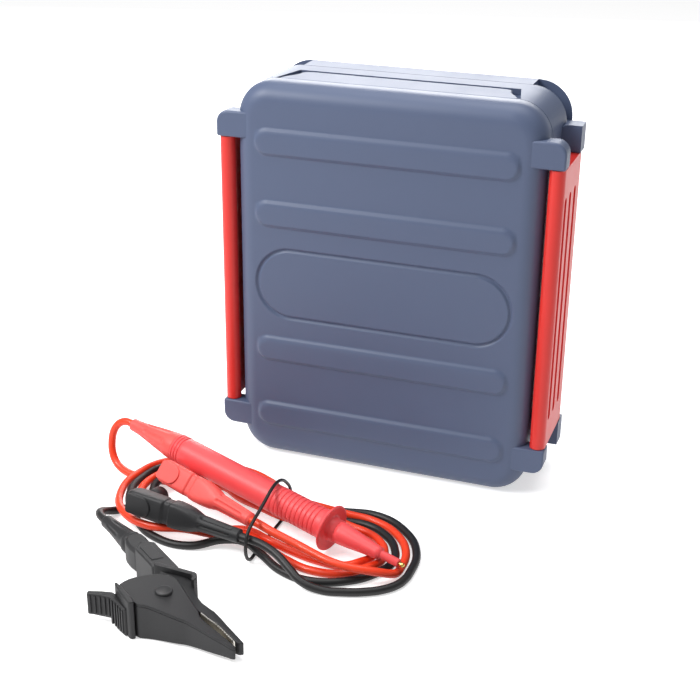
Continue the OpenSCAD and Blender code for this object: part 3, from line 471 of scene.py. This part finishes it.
def makeProbe(settings):
    boot = [(0, 1.75), (0, 2.5), (0.4, settings["bootFoot"])]
    for step in range(1, settings["bootSteps"] + 1):
        along = settings["bootEnd"] * step / settings["bootSteps"]
        swell, collar = (rise * ramp(along, start, end) for rise, start, end in settings["bootSwell"])
        boot.append((along, settings["bootFoot"] + swell + collar))
    bootPiece = lathe("probe_boot_shape", boot, probePlace, "bootRed", "leads", "boot_red", 72,
                      lambda along, angle: fluteDepth(along, angle, settings["flute"]))
    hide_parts("probe_boot")
    barrel = [(settings["bootEnd"] - 0.1, 2), (settings["bootEnd"] - 0.1, 5.7)]
    pitch = (settings["collarEnd"] - settings["bootEnd"]) / settings["ringCount"]
    for ring in range(settings["ringCount"]):
        start = settings["bootEnd"] + ring * pitch
        for share, radius in settings["ring"]:
            barrel.append((start + share * pitch, radius))
    collarEnd = settings["collarEnd"]
    barrel += [(collarEnd + 0.1, 6.0), (collarEnd + 0.4, 6.12), (collarEnd + 2, 6.1), (60, 6.0),
               (settings["gripStart"] - 1.2, 6.0)]
    grooveStep = (settings["gripEnd"] - settings["gripStart"]) / settings["grooves"]
    for groove in range(settings["grooves"]):
        start = settings["gripStart"] + groove * grooveStep
        for share, radius in settings["groove"]:
            growth = settings["gripGrowth"] * groove / settings["grooves"]
            barrel.append((start + share * grooveStep, radius + growth))
    guard = settings["guard"]
    top = settings["guardRadius"]
    barrel += [(guard - 2.3, 6.25), (guard - 1.5, 6.6), (guard - 1.0, 7.4), (guard - 0.45, top - 1.2),
               (guard - 0.25, top - 0.3), (guard, top - 0.04), (guard + 0.3, top), (guard + 0.65, top - 0.12),
               (guard + 0.85, top - 0.45), (guard + 0.8, top - 1.2), (guard + 0.55, 7.2), (guard + 0.5, 5.8),
               (guard + 0.7, 5.2), (guard + 1.4, 4.95), (settings["noseStart"], 4.8),
               (settings["noseStart"], 2)]
    barrelPiece = lathe("probe_barrel_shape", barrel, probePlace, "probeRed", "leads", "probe_red", 72)
    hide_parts("probe_barrel")
    start, end, sleeve = settings["noseStart"], settings["noseEnd"], settings["tipStart"]
    nose = [(start - 0.1, 1.0), (start - 0.1, settings["noseRadius"])]
    for step in range(1, settings["noseSteps"] + 1):
        taper = settings["noseTaper"] * smooth(step / settings["noseSteps"] * 0.8 + 0.1) / smooth(0.9)
        nose.append((start + (end - start) * step / settings["noseSteps"], settings["noseRadius"] - taper))
    nose += [(end + 0.3, 1.85), (end + 0.6, 1.7), (sleeve - 0.2, 1.7), (sleeve, 1.55), (sleeve, 1.0)]
    nosePiece = lathe("probe_nose_shape", nose, probePlace, "probeRed", "leads", "probe_red", 48)
    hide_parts("probe_nose")
    length = settings["length"]
    tip = [(sleeve - 1, 0.95), (length - 1.0, 0.95), (length - 0.5, 0.85), (length - 0.15, 0.55),
           (length, 0.15)]
    tipPiece = lathe("probe_tip_shape", tip, probePlace, "gold", "leads", "gold", 24)
    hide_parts("probe_tip")
    return [bootPiece, barrelPiece, nosePiece, tipPiece]


probePieces = makeProbe(probeSettings)
print("probe built")

plugSettings = {"sides": 56, "length": 52, "steps": 105, "padHalf": 4.1, "padStart": 40, "padEnd": 51.2,
                "padTop": 4.75, "padFoot": 3.4, "padSteps": 24, "shroudAt": 45.5, "shroudDeep": 9.8,
                "flute": {"deep": 0.75, "pitch": 60, "turn": 30, "along": (3.5, 4.3, 17, 18.4),
                          "around": (18, 23, 37, 42)},
                "red": {"sleeve": (-26.9, -105.9, 13), "head": (-69.5, -88.5, 16), "roll": -50,
                        "finish": "bootRed", "slot": "boot_red"},
                "black": {"sleeve": (-27.5, -115.1, 10.5), "head": (-69.2, -110.2, 13.2), "roll": -78,
                          "finish": "clipBlack", "slot": "clip_black"}}
# along the plug, half its thickness, half its width, and how square it is
plugSections = [(0, 1.8, 1.8, 2), (0, 2.6, 2.6, 2), (0.4, 2.85, 2.85, 2), (9, 3.2, 3.2, 2),
                (17, 3.5, 3.5, 2.05), (18.6, 3.6, 3.75, 2.2), (20, 3.75, 4.15, 2.6),
                (22.5, 3.95, 4.75, 3.2), (26, 4.05, 5.15, 4.2), (29, 4.1, 5.3, 5),
                (31.2, 4.1, 5.2, 5.2), (31.6, 3.8, 5.0, 5.2), (32, 3.35, 4.8, 5.2),
                (34.4, 3.35, 4.8, 5.2), (34.8, 3.8, 5.0, 5.2), (35.3, 4.05, 5.1, 5.4),
                (40, 4.1, 5.1, 5.6), (47, 4.1, 5.1, 5.6), (49.6, 4.0, 4.95, 5), (50.9, 3.75, 4.6, 4.6),
                (51.7, 3.3, 4.1, 4.2), (52, 2.7, 3.5, 4)]


# a point on a section between an ellipse, at power 2, and a rounded square
def sectionPoint(angle, halfThick, halfWide, power):
    cosine, sine = math.cos(angle), math.sin(angle)
    x = halfThick * math.copysign(abs(cosine) ** (2 / power), cosine)
    y = halfWide * math.copysign(abs(sine) ** (2 / power), sine)
    return x, y


def makePlug(colour, settings):
    own = settings[colour]
    way = Vector(own["head"]) - Vector(own["sleeve"])
    place = axisFrame(own["sleeve"], way, own["roll"])
    alongs = {round(value, 2) for value in np.linspace(0, settings["length"], settings["steps"])}
    alongs = sorted(alongs | {row[0] for row in plugSections})
    table = np.array(plugSections, float)
    table[1:, 0] += np.arange(1, len(table)) * 1e-6  # keeps the two rows at the cord's end apart
    rows = [table[0]]
    for along in alongs:
        rows.append([along] + [float(np.interp(along, table[:, 0], table[:, column]))
                               for column in (1, 2, 3)])
    points = []
    for along, thick, wide, power in rows:
        for side in range(settings["sides"]):
            angle = 2 * math.pi * side / settings["sides"]
            x, y = sectionPoint(angle, thick, wide, power)
            share = 1 - fluteDepth(along, angle, settings["flute"]) / math.hypot(x, y)
            points.append(place((x * share, y * share, along)))
    faces = ringFaces(len(rows), settings["sides"])
    body = makePiece(colour + "_plug_shape", points, faces, own["finish"], "leads", own["slot"])
    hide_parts(colour + "_plug")
    half, start, end = settings["padHalf"], settings["padStart"], settings["padEnd"]
    angles = [math.pi * step / settings["padSteps"] for step in range(settings["padSteps"] + 1)]
    outline = [[-half * math.cos(angle), start + half - half * math.sin(angle)] for angle in angles]
    outline += [[half, end - 1.3], [half - 0.35, end - 0.4], [half - 1.2, end], [1.2 - half, end],
                [0.35 - half, end - 0.4], [-half, end - 1.3]]
    padPiece = extruded(colour + "_plug_pad", outline, lambda point: place((-point[2], point[0], point[1])),
                        settings["padTop"], own["finish"], "leads", own["slot"], settings["padFoot"], 0.35)
    shroudPlace = axisFrame(place((3.2, 0, settings["shroudAt"])), place((5, 0, 0)) - place((0, 0, 0)))
    deep = settings["shroudDeep"]
    shroud = [(0, 3.9), (deep - 0.3, 3.9), (deep, 3.65), (deep, 3.3), (deep - 0.2, 3.1), (1.5, 3.1),
              (1.5, 0.05)]
    shroudPiece = lathe(colour + "_plug_shroud", shroud, shroudPlace, own["finish"], "leads", own["slot"], 40)
    return [body, padPiece, shroudPiece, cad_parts[colour + "_plug_pin"]]


redPlugPieces = makePlug("red", plugSettings)
blackPlugPieces = makePlug("black", plugSettings)
print("plugs built")

clipSettings = {"centre": (-35.2, -165.7, 0), "turn": -16.8, "thick": 15, "tipHeight": 6.5, "tipAt": 38,
                "neck": (-66.2, -131.4, 8), "bootEnd": (-84.5, -119.5, 8), "flangeAt": -16.3, "ribs": 10,
                "ribInset": 1.2, "ribHalf": 0.42, "teeth": 18, "toothRise": 0.75,
                "flute": {"deep": 0.3, "pitch": 60, "turn": 30, "along": (5, 6, 14, 15),
                          "around": (18, 24, 36, 42)}}
# outlines seen from above, along the clip and across it
leverOutline = [[35.6, -2.8], [35.6, -1.5], [32.2, -1.2], [26.6, -0.8], [20.9, -0.5], [17.1, 0.1],
                [14.7, 1.2], [10.2, 2.1], [5.7, 4.1], [1.1, 6.2], [-3.3, 7.7], [-8.2, 6.7],
                [-11.2, 3.9], [-13.8, 0.6], [-15.9, -3.2], [-15.8, -7.6], [-9, -10.1], [-2.4, -12.2],
                [1.9, -9.9], [6.4, -8.4], [12, -6.7], [15.2, -5.4], [19.4, -4.7], [26.6, -3.9],
                [31.2, -3.2]]
seamOutline = [[14.9, 2.05], [11, 3.2], [6.3, 5.2], [1.6, 7.3], [-2.4, 8.8], [-5.4, 8.9], [-8.8, 7.5],
               [-12.1, 4.2], [-14.4, 0.7]]
bodyOutline = [[-15.5, 10], [-9, 9.8], [-5.2, 10.2], [-2.6, 9], [1.4, 7.6], [6, 5.4], [10.5, 3.4],
               [15, 2.4], [19.6, 2.1], [23.8, 2.2], [29.3, 1.2], [34.8, 0.1], [36.6, 1.9], [34.5, 2.4],
               [27.8, 3.9], [20.9, 5.7], [12.6, 6.9], [8.8, 8.2], [5, 10.6], [3.6, 13], [-4, 12.6],
               [-12, 11.4]]
thumbFace = [[-24.4, -15.1], [-20.3, -12.9], [-16.6, -11.5], [-12, -12.3], [-6.2, -14.2]]
thumbOutline = thumbFace + [[-5.4, -12.9], [-11, -10.2], [-16, -8.6], [-17.6, -8.3], [-21.3, -10.3],
                            [-25.6, -13.3]]
flangeOutline = [[-17.1, -8.4], [-16.2, -6.9], [-2.2, -12.0], [-3.2, -14.0], [-5, -13.9]]
wingOutline = [[-14.3, 9.5], [-14.7, 11.3], [-5, 13.6], [1.6, 15.0], [2.8, 14.7], [4.9, 12.6], [5, 10.4],
               [3.3, 10.8], [3, 11.9], [1.4, 13.1], [-5, 11.6], [-12.3, 9.7]]
blockOutline = [[-29.3, 14.9], [-15.5, 9.9], [-6, 13], [-7.5, 15.9], [-26.8, 23.1], [-30.2, 21.7],
                [-30.9, 19.4]]
blockFace = [[-28.2, 16.6], [-18.6, 13.1], [-16.2, 16.9], [-26.2, 20.6]]
neckOutline = [[-39.4, 27.4], [-41.2, 20.6], [-36, 16.8], [-27, 14.6], [-24.6, 21.6], [-32.5, 25.4]]
clipTurn = Matrix.Rotation(math.radians(clipSettings["turn"]), 3, "Z")


def clipPlace(point):
    return Vector(clipSettings["centre"]) + clipTurn @ Vector(point)


# the clip's top and underside taper towards the tips; every height takes x and y
def clipTop(x, y):
    drop = max(x, 0) / clipSettings["tipAt"]
    return clipSettings["thick"] + (clipSettings["tipHeight"] - clipSettings["thick"]) * min(drop, 1)


def clipLow(x, y):
    return 0.2 + 1.9 * min(max(x, 0) / clipSettings["tipAt"], 1)


def bodyTop(x, y):
    return clipTop(x, y) - 1.35 * (1 - ramp(x, 13, 19))


# a black bar of the clip between two heights
def bar(name, corners, low, top, body, rounding):
    return extruded(name, corners, clipPlace, top, "clipBlack", body, "clip_black", low, rounding)


def makeClip(settings):
    jaw = bar("clip_lever", refine(leverOutline), clipLow, lambda x, y: clipTop(x, y) - 1.1, "clip_jaw", 0.9)
    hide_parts("clip_jaw")
    cheek = leverOutline[:6] + seamOutline + leverOutline[14:]
    bar("clip_lever_cheek", refine(cheek), lambda x, y: clipTop(x, y) - 1.15, clipTop, "clip_jaw", 0.45)
    bar("clip_lever_flange", refine(flangeOutline), 0.1, 16, "clip_jaw", 0.6)
    bar("clip_lever_thumb", thumbOutline, lambda x, y: 2.8 if x < settings["flangeAt"] else 0.3, 11.9,
        "clip_jaw", 0.6)
    reach = [0.0]  # how far along the thumb face each of its corners is
    for first, after in zip(thumbFace, thumbFace[1:]):
        reach.append(reach[-1] + math.dist(first, after))
    for index in range(settings["ribs"]):
        along = settings["ribInset"] + index * (reach[-1] - 2 * settings["ribInset"]) / (settings["ribs"] - 1)
        leg = max(number for number in range(len(thumbFace) - 1) if reach[number] <= along)
        first, after = Vector(thumbFace[leg]), Vector(thumbFace[leg + 1])
        way = (after - first).normalized()
        out = Vector((way.y, -way.x))
        middle = first + way * (along - reach[leg])
        half = way * settings["ribHalf"]
        corners = [middle - half - out * 0.4, middle - half + out * 0.5, middle + half + out * 0.5,
                   middle + half - out * 0.4]
        bar("clip_thumb_rib_" + str(index), [list(corner) for corner in corners],
            3.6 if middle.x < settings["flangeAt"] else 1.2, 11.1, "clip_jaw", 0.2)
    body = bar("clip_half", refine(bodyOutline), clipLow, bodyTop, "leads", 0.8)
    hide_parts("clip_body")
    bar("clip_wing", wingOutline, 1, 16, "leads", 0.4)
    bar("clip_block", blockOutline, 1.2, 14.2, "leads", 0.5)
    bar("clip_block_face", blockFace, 13.9, 14.4, "leads", 0.15)
    bar("clip_neck", refine(neckOutline), 2.8, 12.6, "leads", 1.6)
    profile = [(13.6, 3.2), (15.15, 3.2), (15.3, 3.05), (15.32, 2.6), (15.2, 2.4), (15.2, 0.05)]
    boss = lathe("clip_boss", profile, clipPlace, "clipBlack", "leads", "clip_black", 40)
    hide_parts("clip_pin")
    way = Vector(settings["neck"]) - Vector(settings["bootEnd"])
    bootPlace = axisFrame(settings["bootEnd"], way)
    size = way.length
    profile = [(0, 1.75), (0, 2.4), (0.4, 2.65)]
    profile += [(size * step / 30, 2.65 + 1.5 * smooth(step / 30)) for step in range(1, 26)]
    profile += [(size - 2.6, 4.35), (size - 1.8, 4.6), (size - 0.4, 4.65), (size + 0.3, 4.3),
                (size + 1.4, 3.9), (size + 2.5, 3.8)]
    boot = lathe("clip_boot_shape", profile, bootPlace, "clipBlack", "leads", "clip_black", 60,
                 lambda along, angle: fluteDepth(along, angle, settings["flute"]))
    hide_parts("clip_boot")


# a strip of metal with pointed teeth along the inside of a jaw
def makeTeeth(name, line, side, drop, body, node):
    points = []
    faces = []
    count = clipSettings["teeth"]
    for index in range(count * 2 + 1):
        share = index / (count * 2)
        position = share * (len(line) - 1)
        first = min(int(position), len(line) - 2)
        x = line[first][0] + (line[first + 1][0] - line[first][0]) * (position - first)
        y = line[first][1] + (line[first + 1][1] - line[first][1]) * (position - first)
        rise = clipSettings["toothRise"] if index % 2 else 0.1
        for z in (1.5, clipTop(x, y) - drop):
            points.append(clipPlace((x, y, z)))
            points.append(clipPlace((x, y + side * rise, z)))
        if index:
            base = (index - 1) * 4
            faces += [(base, base + 4, base + 6, base + 2), (base + 1, base + 5, base + 7, base + 3),
                      (base, base + 4, base + 5, base + 1), (base + 2, base + 6, base + 7, base + 3)]
    faces += [(0, 1, 3, 2), (count * 8, count * 8 + 1, count * 8 + 3, count * 8 + 2)]
    piece = makePiece(name, points, faces, "nickel", body, "rod_steel", sharp=20)
    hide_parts(node)


makeClip(clipSettings)
upperEdge = [[16, 2.3], [19.6, 2.1], [23.8, 2.2], [29.3, 1.2], [33.4, 0.4]]
lowerEdge = [[17.1, 0.1], [20.9, -0.5], [26.6, -0.8], [32.2, -1.2], [34.6, -1.4]]
makeTeeth("clip_teeth_upper", upperEdge, -1, 0.35, "leads", "body_teeth")
makeTeeth("clip_teeth_lower", lowerEdge, 1, 1.15, "clip_jaw", "jaw_teeth")
print("clip built")

# angles are degrees round the hank from its right end; a lane is how many pitches outward a strand lies
hankSettings = {"centre": (-26.5, -90), "tilt": -11, "long": (57.5, 7), "wide": (28, 12, -1), "bow": 6,
                "bowAt": 60,
                "lobe": (0.88, 6, 5, 30),  # the right loop's width, its shift, and where they set in
                "waist": ((55, 78, 102, 125), (232, 258, 282, 308)), "spreadAt": (-45, -15, 40, 60),
                "shiftAt": (-75, -45, 45, 75), "liftAt": ((62, 82, 98, 118), (242, 262, 278, 300)),
                "laneChange": {"early": (90, 140), "late": (70, 110), "low": (212, 243), "right": (300, 345)},
                "redRise": ((54, 69, 111, 126), (148, 163, 236, 253)),
                "blackRise": {"early": (148, 161, 182, 196), "late": (148, 161, 203, 216)},
                "pitch": (4.012, 2.04, 0.612),  # at the ends, at the waist, and the extra at the right end
                "layer": 3.91, "lift": 1.904, "shift": 2.38, "first": 0.6,
                "perTurn": 24, "diameter": 3.4}
# the cords' free ends, point by point
redTail = [(-101.2, -63.7, 22.5), (-104.4, -62.9, 22.8), (-107.8, -62.5, 21.8), (-110.4, -62.6, 19.4),
           (-111.9, -63.2, 16), (-112.3, -64, 12), (-111.7, -65.1, 8), (-109.8, -66.6, 4.8),
           (-106.4, -68.4, 2.7), (-102, -70.2, 1.9), (-97, -71.4, 1.7), (-91, -72, 1.7),
           (-83.4, -71.4, 1.7), (-76, -70, 1.7), (-69.8, -68.4, 1.7), (-64, -67, 1.7),
           (-58.6, -66.6, 1.7)]
blackTail = [(-84.5, -119.5, 8), (-87.2, -117.9, 8), (-90, -115.2, 7.6), (-91.9, -111.6, 6.4),
             (-92.4, -107.8, 4.7), (-91.8, -104.2, 2.9), (-90.2, -101, 1.8), (-87.8, -98.6, 1.7),
             (-85, -96.8, 1.7), (-82.3, -95.2, 1.7)]
redPlugRun = [(34.2, -105.4, 1.9), (32.8, -108.6, 3.1), (29.8, -111.8, 4.9), (25, -114.4, 6.4),
              (18.6, -115.9, 7.2), (11.2, -115.8, 7.8), (3.7, -113.8, 8.4), (-3.4, -111.6, 9.2),
              (-10.2, -110.2, 10.4), (-17, -108.9, 11.7), (-23.7, -106.9, 12.8), (-26.9, -105.9, 13)]
blackPlugRun = [(38.5, -107.9, 1.7), (37, -112.6, 1.7), (33.1, -117.6, 1.7), (27.1, -121.7, 1.7),
                (19.1, -124.9, 1.7), (10.6, -126.5, 1.7), (2.5, -126.1, 3.4), (-4.1, -122.9, 6.2),
                (-9.8, -119.5, 8.2), (-15.9, -117, 9.5), (-21.2, -115.7, 10.1), (-24.2, -115.4, 10.3),
                (-27.5, -115.1, 10.5)]


def hankBase(angle, settings):
    turn = math.radians(angle)
    long, wide = settings["long"], settings["wide"]
    x = long[0] * math.cos(turn) + long[1] * math.cos(3 * turn)
    y = wide[0] * math.sin(turn) + wide[1] * math.sin(3 * turn) + wide[2] * math.sin(5 * turn)
    scale, shift, start, end = settings["lobe"]
    share = ramp(x, start, end)
    return Vector((x, y * (1 - (1 - scale) * share) + shift * share))


# where a strand lies: how far round, in which lane, and how many layers up
def hankPlace(angle, lane, rise, settings):
    along = hankBase(angle + 0.5, settings) - hankBase(angle - 0.5, settings)
    outward = Vector((along.y, -along.x)).normalized()
    side = angle - 360 if angle > 180 else angle
    waist = max(window(angle, *span) for span in settings["waist"])
    pitch = settings["pitch"]
    step = pitch[0] - (pitch[0] - pitch[1]) * waist + pitch[2] * window(side, *settings["spreadAt"])
    shift = settings["shift"] * window(side, *settings["shiftAt"])
    point = hankBase(angle, settings) + outward * (lane * step + shift)
    point.y -= settings["bow"] * (max(point.x, 0) / settings["bowAt"]) ** 2
    point.rotate(Matrix.Rotation(math.radians(settings["tilt"]), 2))
    lift = settings["lift"] * max(window(angle, *span) for span in settings["liftAt"])
    return (settings["centre"][0] + point.x, settings["centre"][1] + point.y,
            settings["diameter"] / 2 + lift + rise * settings["layer"])


# each strand changes lanes where it passes the waist, and rises over those it crosses
def redPoint(turns, settings):
    angle = (180 - 360 * turns) % 360
    early = turns < settings["first"]
    change = settings["laneChange"]
    if angle > 180:
        inward = ramp(angle, *change["low"]) + (1 if turns < 1 else 2) * ramp(angle, *change["right"])
    elif early:
        inward = 2 * (1 - ramp(angle, *change["early"]))
    else:
        inward = 3 * (1 - ramp(angle, *change["late"]))
    rise = 0 if early else max(window(angle, *span) for span in settings["redRise"])
    return hankPlace(angle, 2 * turns - 3 - inward, rise, settings)


def blackPoint(turns, settings):
    angle = (180 - 360 * turns) % 360
    change = settings["laneChange"]
    if angle > 180:
        outward = 2 * ramp(angle, *change["low"]) - 3 * ramp(angle, *change["right"])
    else:
        outward = ramp(angle, *change["late"]) - 1
    span = settings["blackRise"]["late" if turns > settings["first"] else "early"]
    return hankPlace(angle, 2 * turns - 2 + outward, window(angle, *span), settings)


# a round cord or wire through points; around and along say how finely it is divided
def roundCurve(name, route, radius, around, along, finish):
    curve = bpy.data.curves.new(name, "CURVE")
    curve.dimensions = "3D"
    curve.bevel_depth = radius * mm
    curve.bevel_resolution = around
    curve.resolution_u = along
    spline = curve.splines.new("BEZIER")
    spline.bezier_points.add(len(route) - 1)
    for knot, point in zip(spline.bezier_points, route):
        knot.co = [value * mm for value in point]
        knot.handle_left_type = "AUTO"
        knot.handle_right_type = "AUTO"
    curve.materials.append(materials[finish])
    piece = bpy.data.objects.new(name, curve)
    bpy.context.collection.objects.link(piece)
    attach(piece, "leads")
    return piece


def makeCord(name, route, finish, nodes):
    cord = roundCurve(name, route, hankSettings["diameter"] / 2, 6, 8, finish)
    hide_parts(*nodes)
    length = sum((Vector(a) - Vector(b)).length for a, b in zip(route, route[1:])) * mm
    [value * mm for value in route[0]]


def hankRoute(pointAt, first, last):
    steps = round((last - first) * hankSettings["perTurn"])
    return [pointAt(first + (last - first) * step / steps, hankSettings) for step in range(steps + 1)]


makeCord("red_cord", redTail + hankRoute(redPoint, 0.14, 2.5) + redPlugRun, "cordOrange",
         ["red_lead_tail", "red_lead_coil", "red_lead_plug_end"])
makeCord("black_cord", blackTail + hankRoute(blackPoint, -0.05, 1.5) + blackPlugRun, "cordBlack",
         ["black_lead_clip_end", "black_lead_coil", "black_lead_plug_end"])
print("cords laid")

tieSettings = {"x": -23.5, "radius": 0.7,  # the loop's points are y and z
               "loop": [(-72.2, 3.6), (-73.4, 1.2), (-76, 0.7), (-92, 0.7), (-110, 0.7), (-115.5, 1.1),
                        (-118.7, 4.6), (-119, 10), (-117.2, 13.6), (-112.6, 15.8), (-106, 17.3),
                        (-99, 19), (-93, 20.6), (-87.6, 20.9), (-82, 19.4), (-76.6, 15.5), (-72.3, 10),
                        (-71.9, 4.6)]}


def makeTie(settings):
    route = [(settings["x"], y, z) for y, z in settings["loop"]]
    tie = roundCurve("twist_tie_wire", route, settings["radius"], 5, 12, "cordBlack")
    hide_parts("twist_tie")


makeTie(tieSettings)
print("tie made")

# in metres: this is the view, not the part
stageSettings = {"floorSize": 6.0, "floorGlow": 0.55, "worldStrength": 0.34,
                 "floor": {"color": (0.86, 0.86, 0.865, 1), "rough": 0.6, "bump": 0.02, "shade": 0.99},
                 # name, place, width and power
                 "lamps": [("key", (-0.45, -0.42, 0.62), 0.3, 5.2), ("back", (-0.3, 1.0, 0.42), 0.7, 8),
                           ("top", (0.0, 0.1, 1.2), 0.8, 8)],
                 "aim": (0, -0.05, 0.06), "camera": (0.163, -0.5315, 0.289), "azimuth": 19.3,
                 "elevation": 23.46, "roll": 0.77, "lens": 69.17, "sensor": 36}


def makeStage(settings):
    size = settings["floorSize"]
    mesh = bpy.data.meshes.new("floor")
    corners = [(-size, -size, 0), (size, -size, 0), (size, size, 0), (-size, size, 0)]
    mesh.from_pydata(corners, [], [(0, 1, 2, 3)])
    floorMaterial = plastic("floorPale", settings["floor"])
    nodes = floorMaterial.node_tree.nodes
    links = floorMaterial.node_tree.links
    ray = nodes.new("ShaderNodeLightPath")
    seen = nodes.new("ShaderNodeMath")
    seen.operation = "MAXIMUM"
    through = nodes.new("ShaderNodeMath")
    through.operation = "MAXIMUM"
    glow = nodes.new("ShaderNodeMath")
    glow.operation = "MULTIPLY"
    glow.inputs[1].default_value = settings["floorGlow"]  # lifts the floor to white, only where it is seen
    links.new(ray.outputs["Is Camera Ray"], seen.inputs[0])
    links.new(ray.outputs["Is Glossy Ray"], seen.inputs[1])
    links.new(seen.outputs[0], through.inputs[0])
    links.new(ray.outputs["Is Transmission Ray"], through.inputs[1])
    links.new(through.outputs[0], glow.inputs[0])
    surface = nodes["Principled BSDF"]
    surface.inputs["Emission Color"].default_value = (1, 1, 1, 1)
    links.new(glow.outputs[0], surface.inputs["Emission Strength"])
    mesh.materials.append(floorMaterial)
    floor = bpy.data.objects.new("floor", mesh)
    bpy.context.collection.objects.link(floor)
    world = bpy.data.worlds.new("studio")
    bpy.context.scene.world = world
    world.use_nodes = True
    world.node_tree.nodes["Background"].inputs["Color"].default_value = (1, 1, 1, 1)
    world.node_tree.nodes["Background"].inputs["Strength"].default_value = settings["worldStrength"]
    for name, place, width, power in settings["lamps"]:
        lamp = bpy.data.lights.new(name, "AREA")
        lamp.energy = power
        lamp.size = width
        holder = bpy.data.objects.new(name, lamp)
        bpy.context.collection.objects.link(holder)
        holder.location = place
        aim = Vector(settings["aim"]) - Vector(place)
        holder.rotation_euler = aim.to_track_quat("-Z", "Y").to_euler()


def makeCamera(settings):
    azimuth, elevation, roll = (math.radians(settings[key]) for key in ("azimuth", "elevation", "roll"))
    forward = Vector((-math.sin(azimuth) * math.cos(elevation), math.cos(azimuth) * math.cos(elevation),
                      -math.sin(elevation)))
    right = forward.cross(Vector((0, 0, 1))).normalized()
    up = right.cross(forward)
    turnedRight = right * math.cos(roll) + up * math.sin(roll)
    turnedUp = -right * math.sin(roll) + up * math.cos(roll)
    camera = bpy.data.cameras.new("camera")
    camera.lens = settings["lens"]
    camera.sensor_width = settings["sensor"]
    holder = bpy.data.objects.new("camera", camera)
    bpy.context.collection.objects.link(holder)
    pose = Matrix((turnedRight, turnedUp, -forward)).transposed().to_4x4()
    pose.translation = Vector(settings["camera"])
    holder.matrix_world = pose
    bpy.context.scene.camera = holder
    bpy.context.scene.view_settings.view_transform = "Standard"


makeStage(stageSettings)
makeCamera(stageSettings)
print("stage set")
